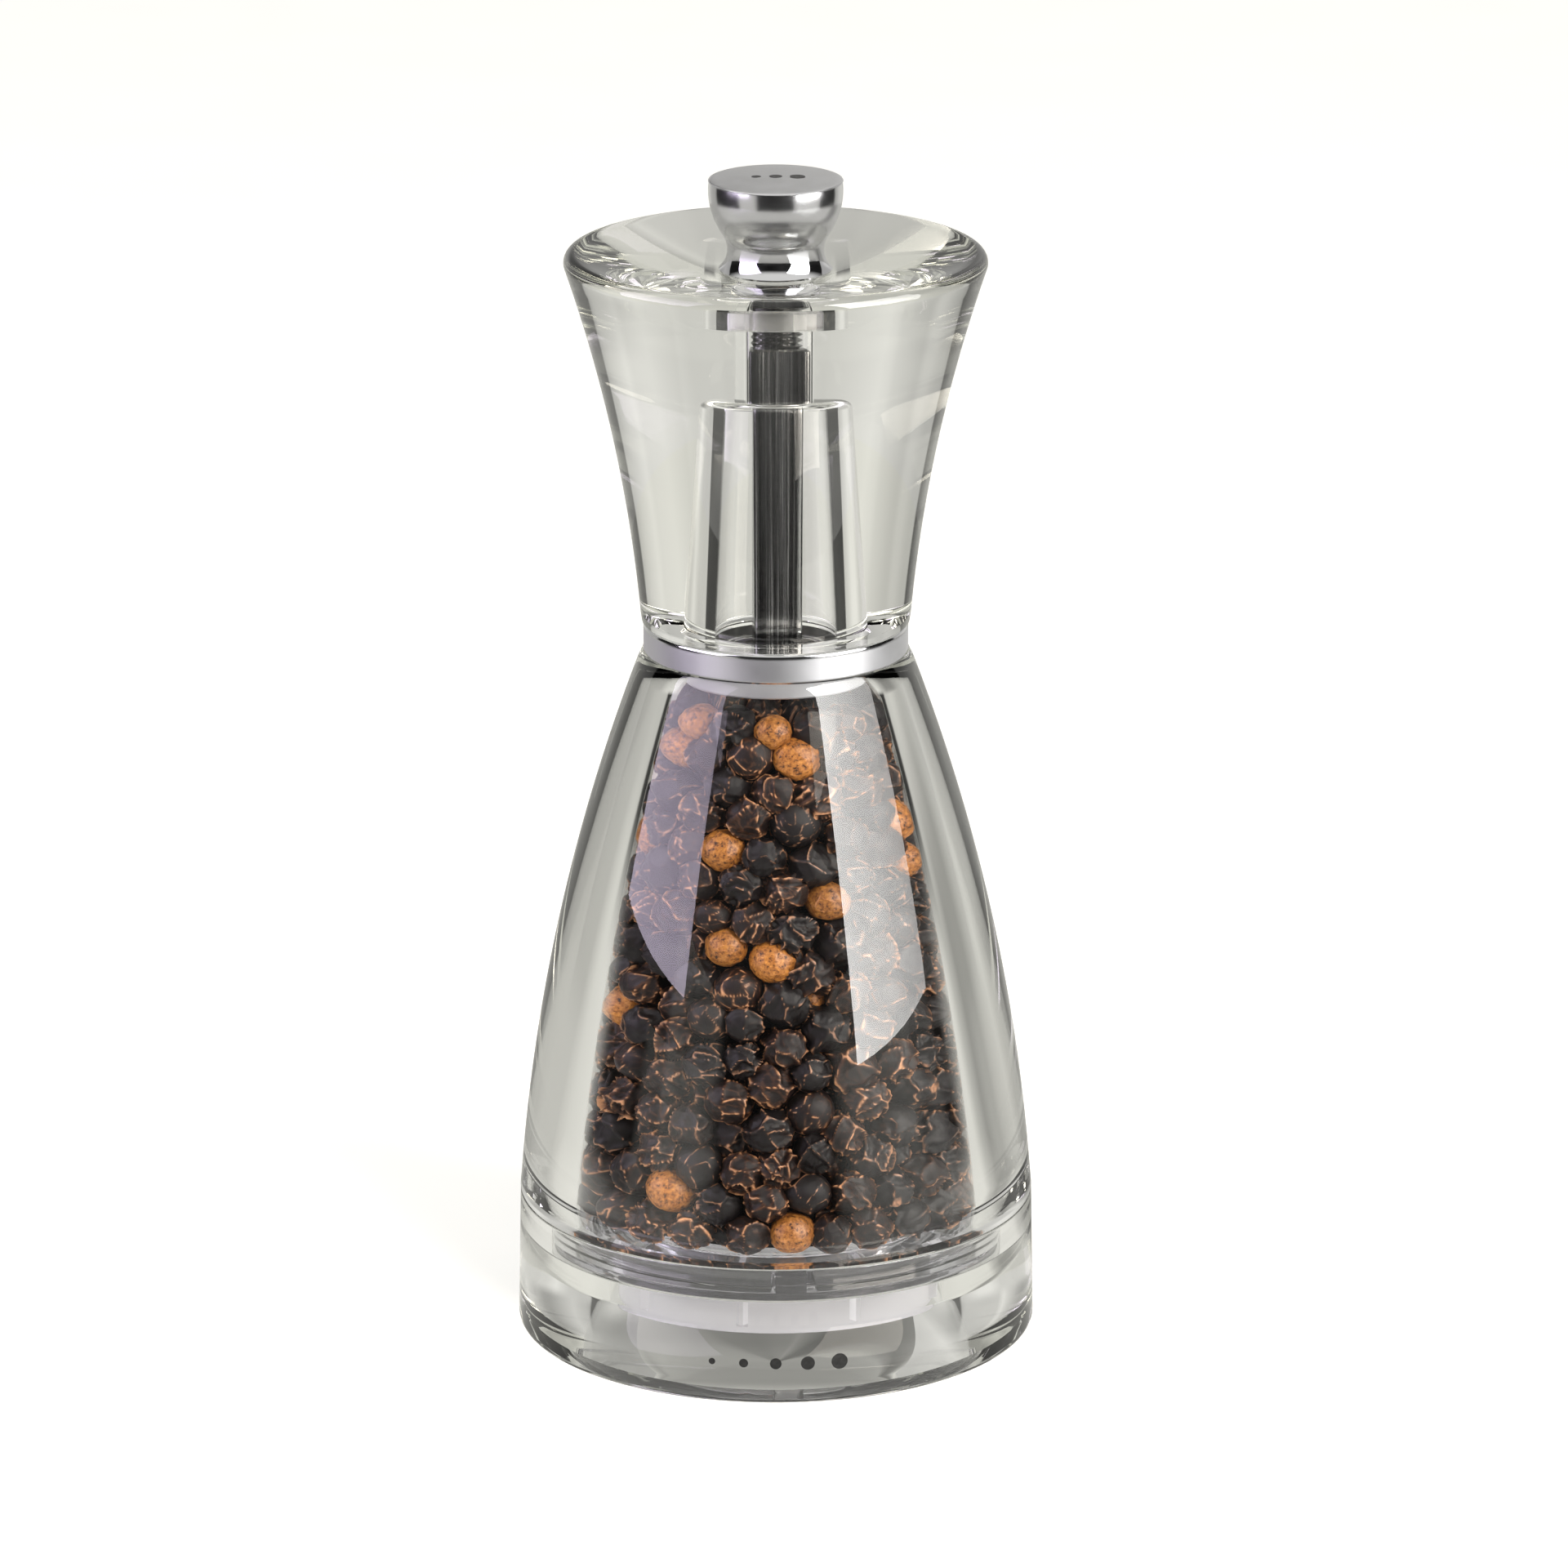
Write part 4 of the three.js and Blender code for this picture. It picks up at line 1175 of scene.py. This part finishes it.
def faded(data, fade):
    """Dims a lamp evenly across its width and its height, each by its share of the fade."""
    data.use_nodes = True
    tree = data.node_tree
    place = tree.nodes.new("ShaderNodeNewGeometry")
    split = add_node(tree, "ShaderNodeSeparateXYZ", Vector=place.outputs["Parametric"])
    across = map_range(tree, split.outputs["X"], 0.0, 1.0, 1.0, 1.0 - fade[0], "LINEAR")
    along = map_range(tree, split.outputs["Y"], 0.0, 1.0, 1.0, 1.0 - fade[1], "LINEAR")
    tree.links.new(combine(tree, "MULTIPLY", across, along), tree.nodes["Emission"].inputs["Strength"])


def softbox(name, azimuth, elevation, distance, size, radiance, colour, shows_in, fade=None):
    """A rectangular light that faces the mill and shows in one kind of ray: diffuse, glossy or transmission.

    The fade is the share of its light that is lost across its width and across its height.
    """
    aim_height = 0.06
    data = bpy.data.lights.new(name, "AREA")
    data.shape = "RECTANGLE"
    data.size, data.size_y = size
    data.energy = radiance * pi * size[0] * size[1]
    data.color = colour
    if fade:
        faded(data, fade)
    lamp = bpy.data.objects.new(name, data)
    way = way_to(azimuth, elevation)
    lamp.location = way * distance + Vector((0, 0, aim_height))
    lamp.rotation_euler = way.to_track_quat("Z", "Y").to_euler()
    lamp.visible_camera = False
    lamp.visible_diffuse = shows_in == "diffuse"
    lamp.visible_glossy = shows_in == "glossy"
    lamp.visible_transmission = shows_in == "transmission"
    scene.collection.objects.link(lamp)


def make_world():
    """A bright ceiling and a grey backdrop. The camera's side of the room is dark."""
    world = bpy.data.worlds.new("studio")
    scene.world = world
    world.use_nodes = True
    tree = world.node_tree
    background = tree.nodes["Background"]
    place = tree.nodes.new("ShaderNodeTexCoord")
    split = add_node(tree, "ShaderNodeSeparateXYZ", Vector=place.outputs["Generated"])
    across, away, up = split.outputs["X"], split.outputs["Y"], split.outputs["Z"]
    level_square = combine(tree, "SUBTRACT", 1.0, combine(tree, "MULTIPLY", up, up))
    level_part = combine(tree, "POWER", level_square, 0.5)
    aside = combine(tree, "DIVIDE", across, combine(tree, "MAXIMUM", level_part, 0.01))
    around = map_range(tree, aside, -1.0, 1.0, kind="LINEAR")
    ceiling = map_range(tree, up, 0.5, 0.8)
    rise = map_range(tree, up, 0.1, 0.26)
    wall = mixed(tree, rise, colour_ramp(tree, around, HORIZON), colour_ramp(tree, around, ABOVE_HORIZON))
    backdrop = combine(tree, "MULTIPLY", wall, map_range(tree, away, *BACK_EDGE, DARK))
    room = combine(tree, "MAXIMUM", ceiling, backdrop)
    path = tree.nodes.new("ShaderNodeLightPath")
    seen_through = combine(tree, "MULTIPLY", path.outputs["Is Transmission Ray"], 0.1)
    tree.links.new(combine(tree, "MAXIMUM", room, seen_through), background.inputs["Strength"])
    background.inputs["Color"].default_value = (1.0, 0.99, 0.95, 1)


def make_stage():
    """Camera, table, room and six soft lights."""
    make_camera()
    make_floor()
    make_world()
    cool, warm = (0.9, 0.8, 1), (1, 0.93, 0.84)
    softbox("window_right", 60, 24, 0.7, (0.6, 0.68), 16.0, (1, 0.99, 0.97), "glossy", fade=(0.6, 0.0))
    softbox("window_left", -68, 26, 0.7, (0.6, 0.62), 7.0, cool, "glossy", fade=(0.0, 0.7))
    softbox("glow_right", 54, 30, 0.7, (0.6, 0.6), 3.0, warm, "transmission")
    softbox("glow_left", -70, 30, 0.7, (0.6, 0.6), 1.8, cool, "transmission")
    softbox("lamp_right", 42, 36, 0.8, (0.3, 0.3), 22.0, warm, "diffuse")
    softbox("lamp_left", -58, 26, 0.8, (0.3, 0.3), 9.0, (1, 0.96, 0.94), "diffuse")
    scene.view_settings.view_transform = "Standard"
    scene.cycles.max_bounces = 32
    scene.cycles.transmission_bounces = 32
    scene.cycles.glossy_bounces = 8
    scene.cycles.diffuse_bounces = 4


make_stage()
base_ring()
body_shell()
neck_collar()
burr_carrier()
outer_burr()
inner_burr()
spindle()
cap()
knob_bush()
knob()
peppercorns()
carried_over()
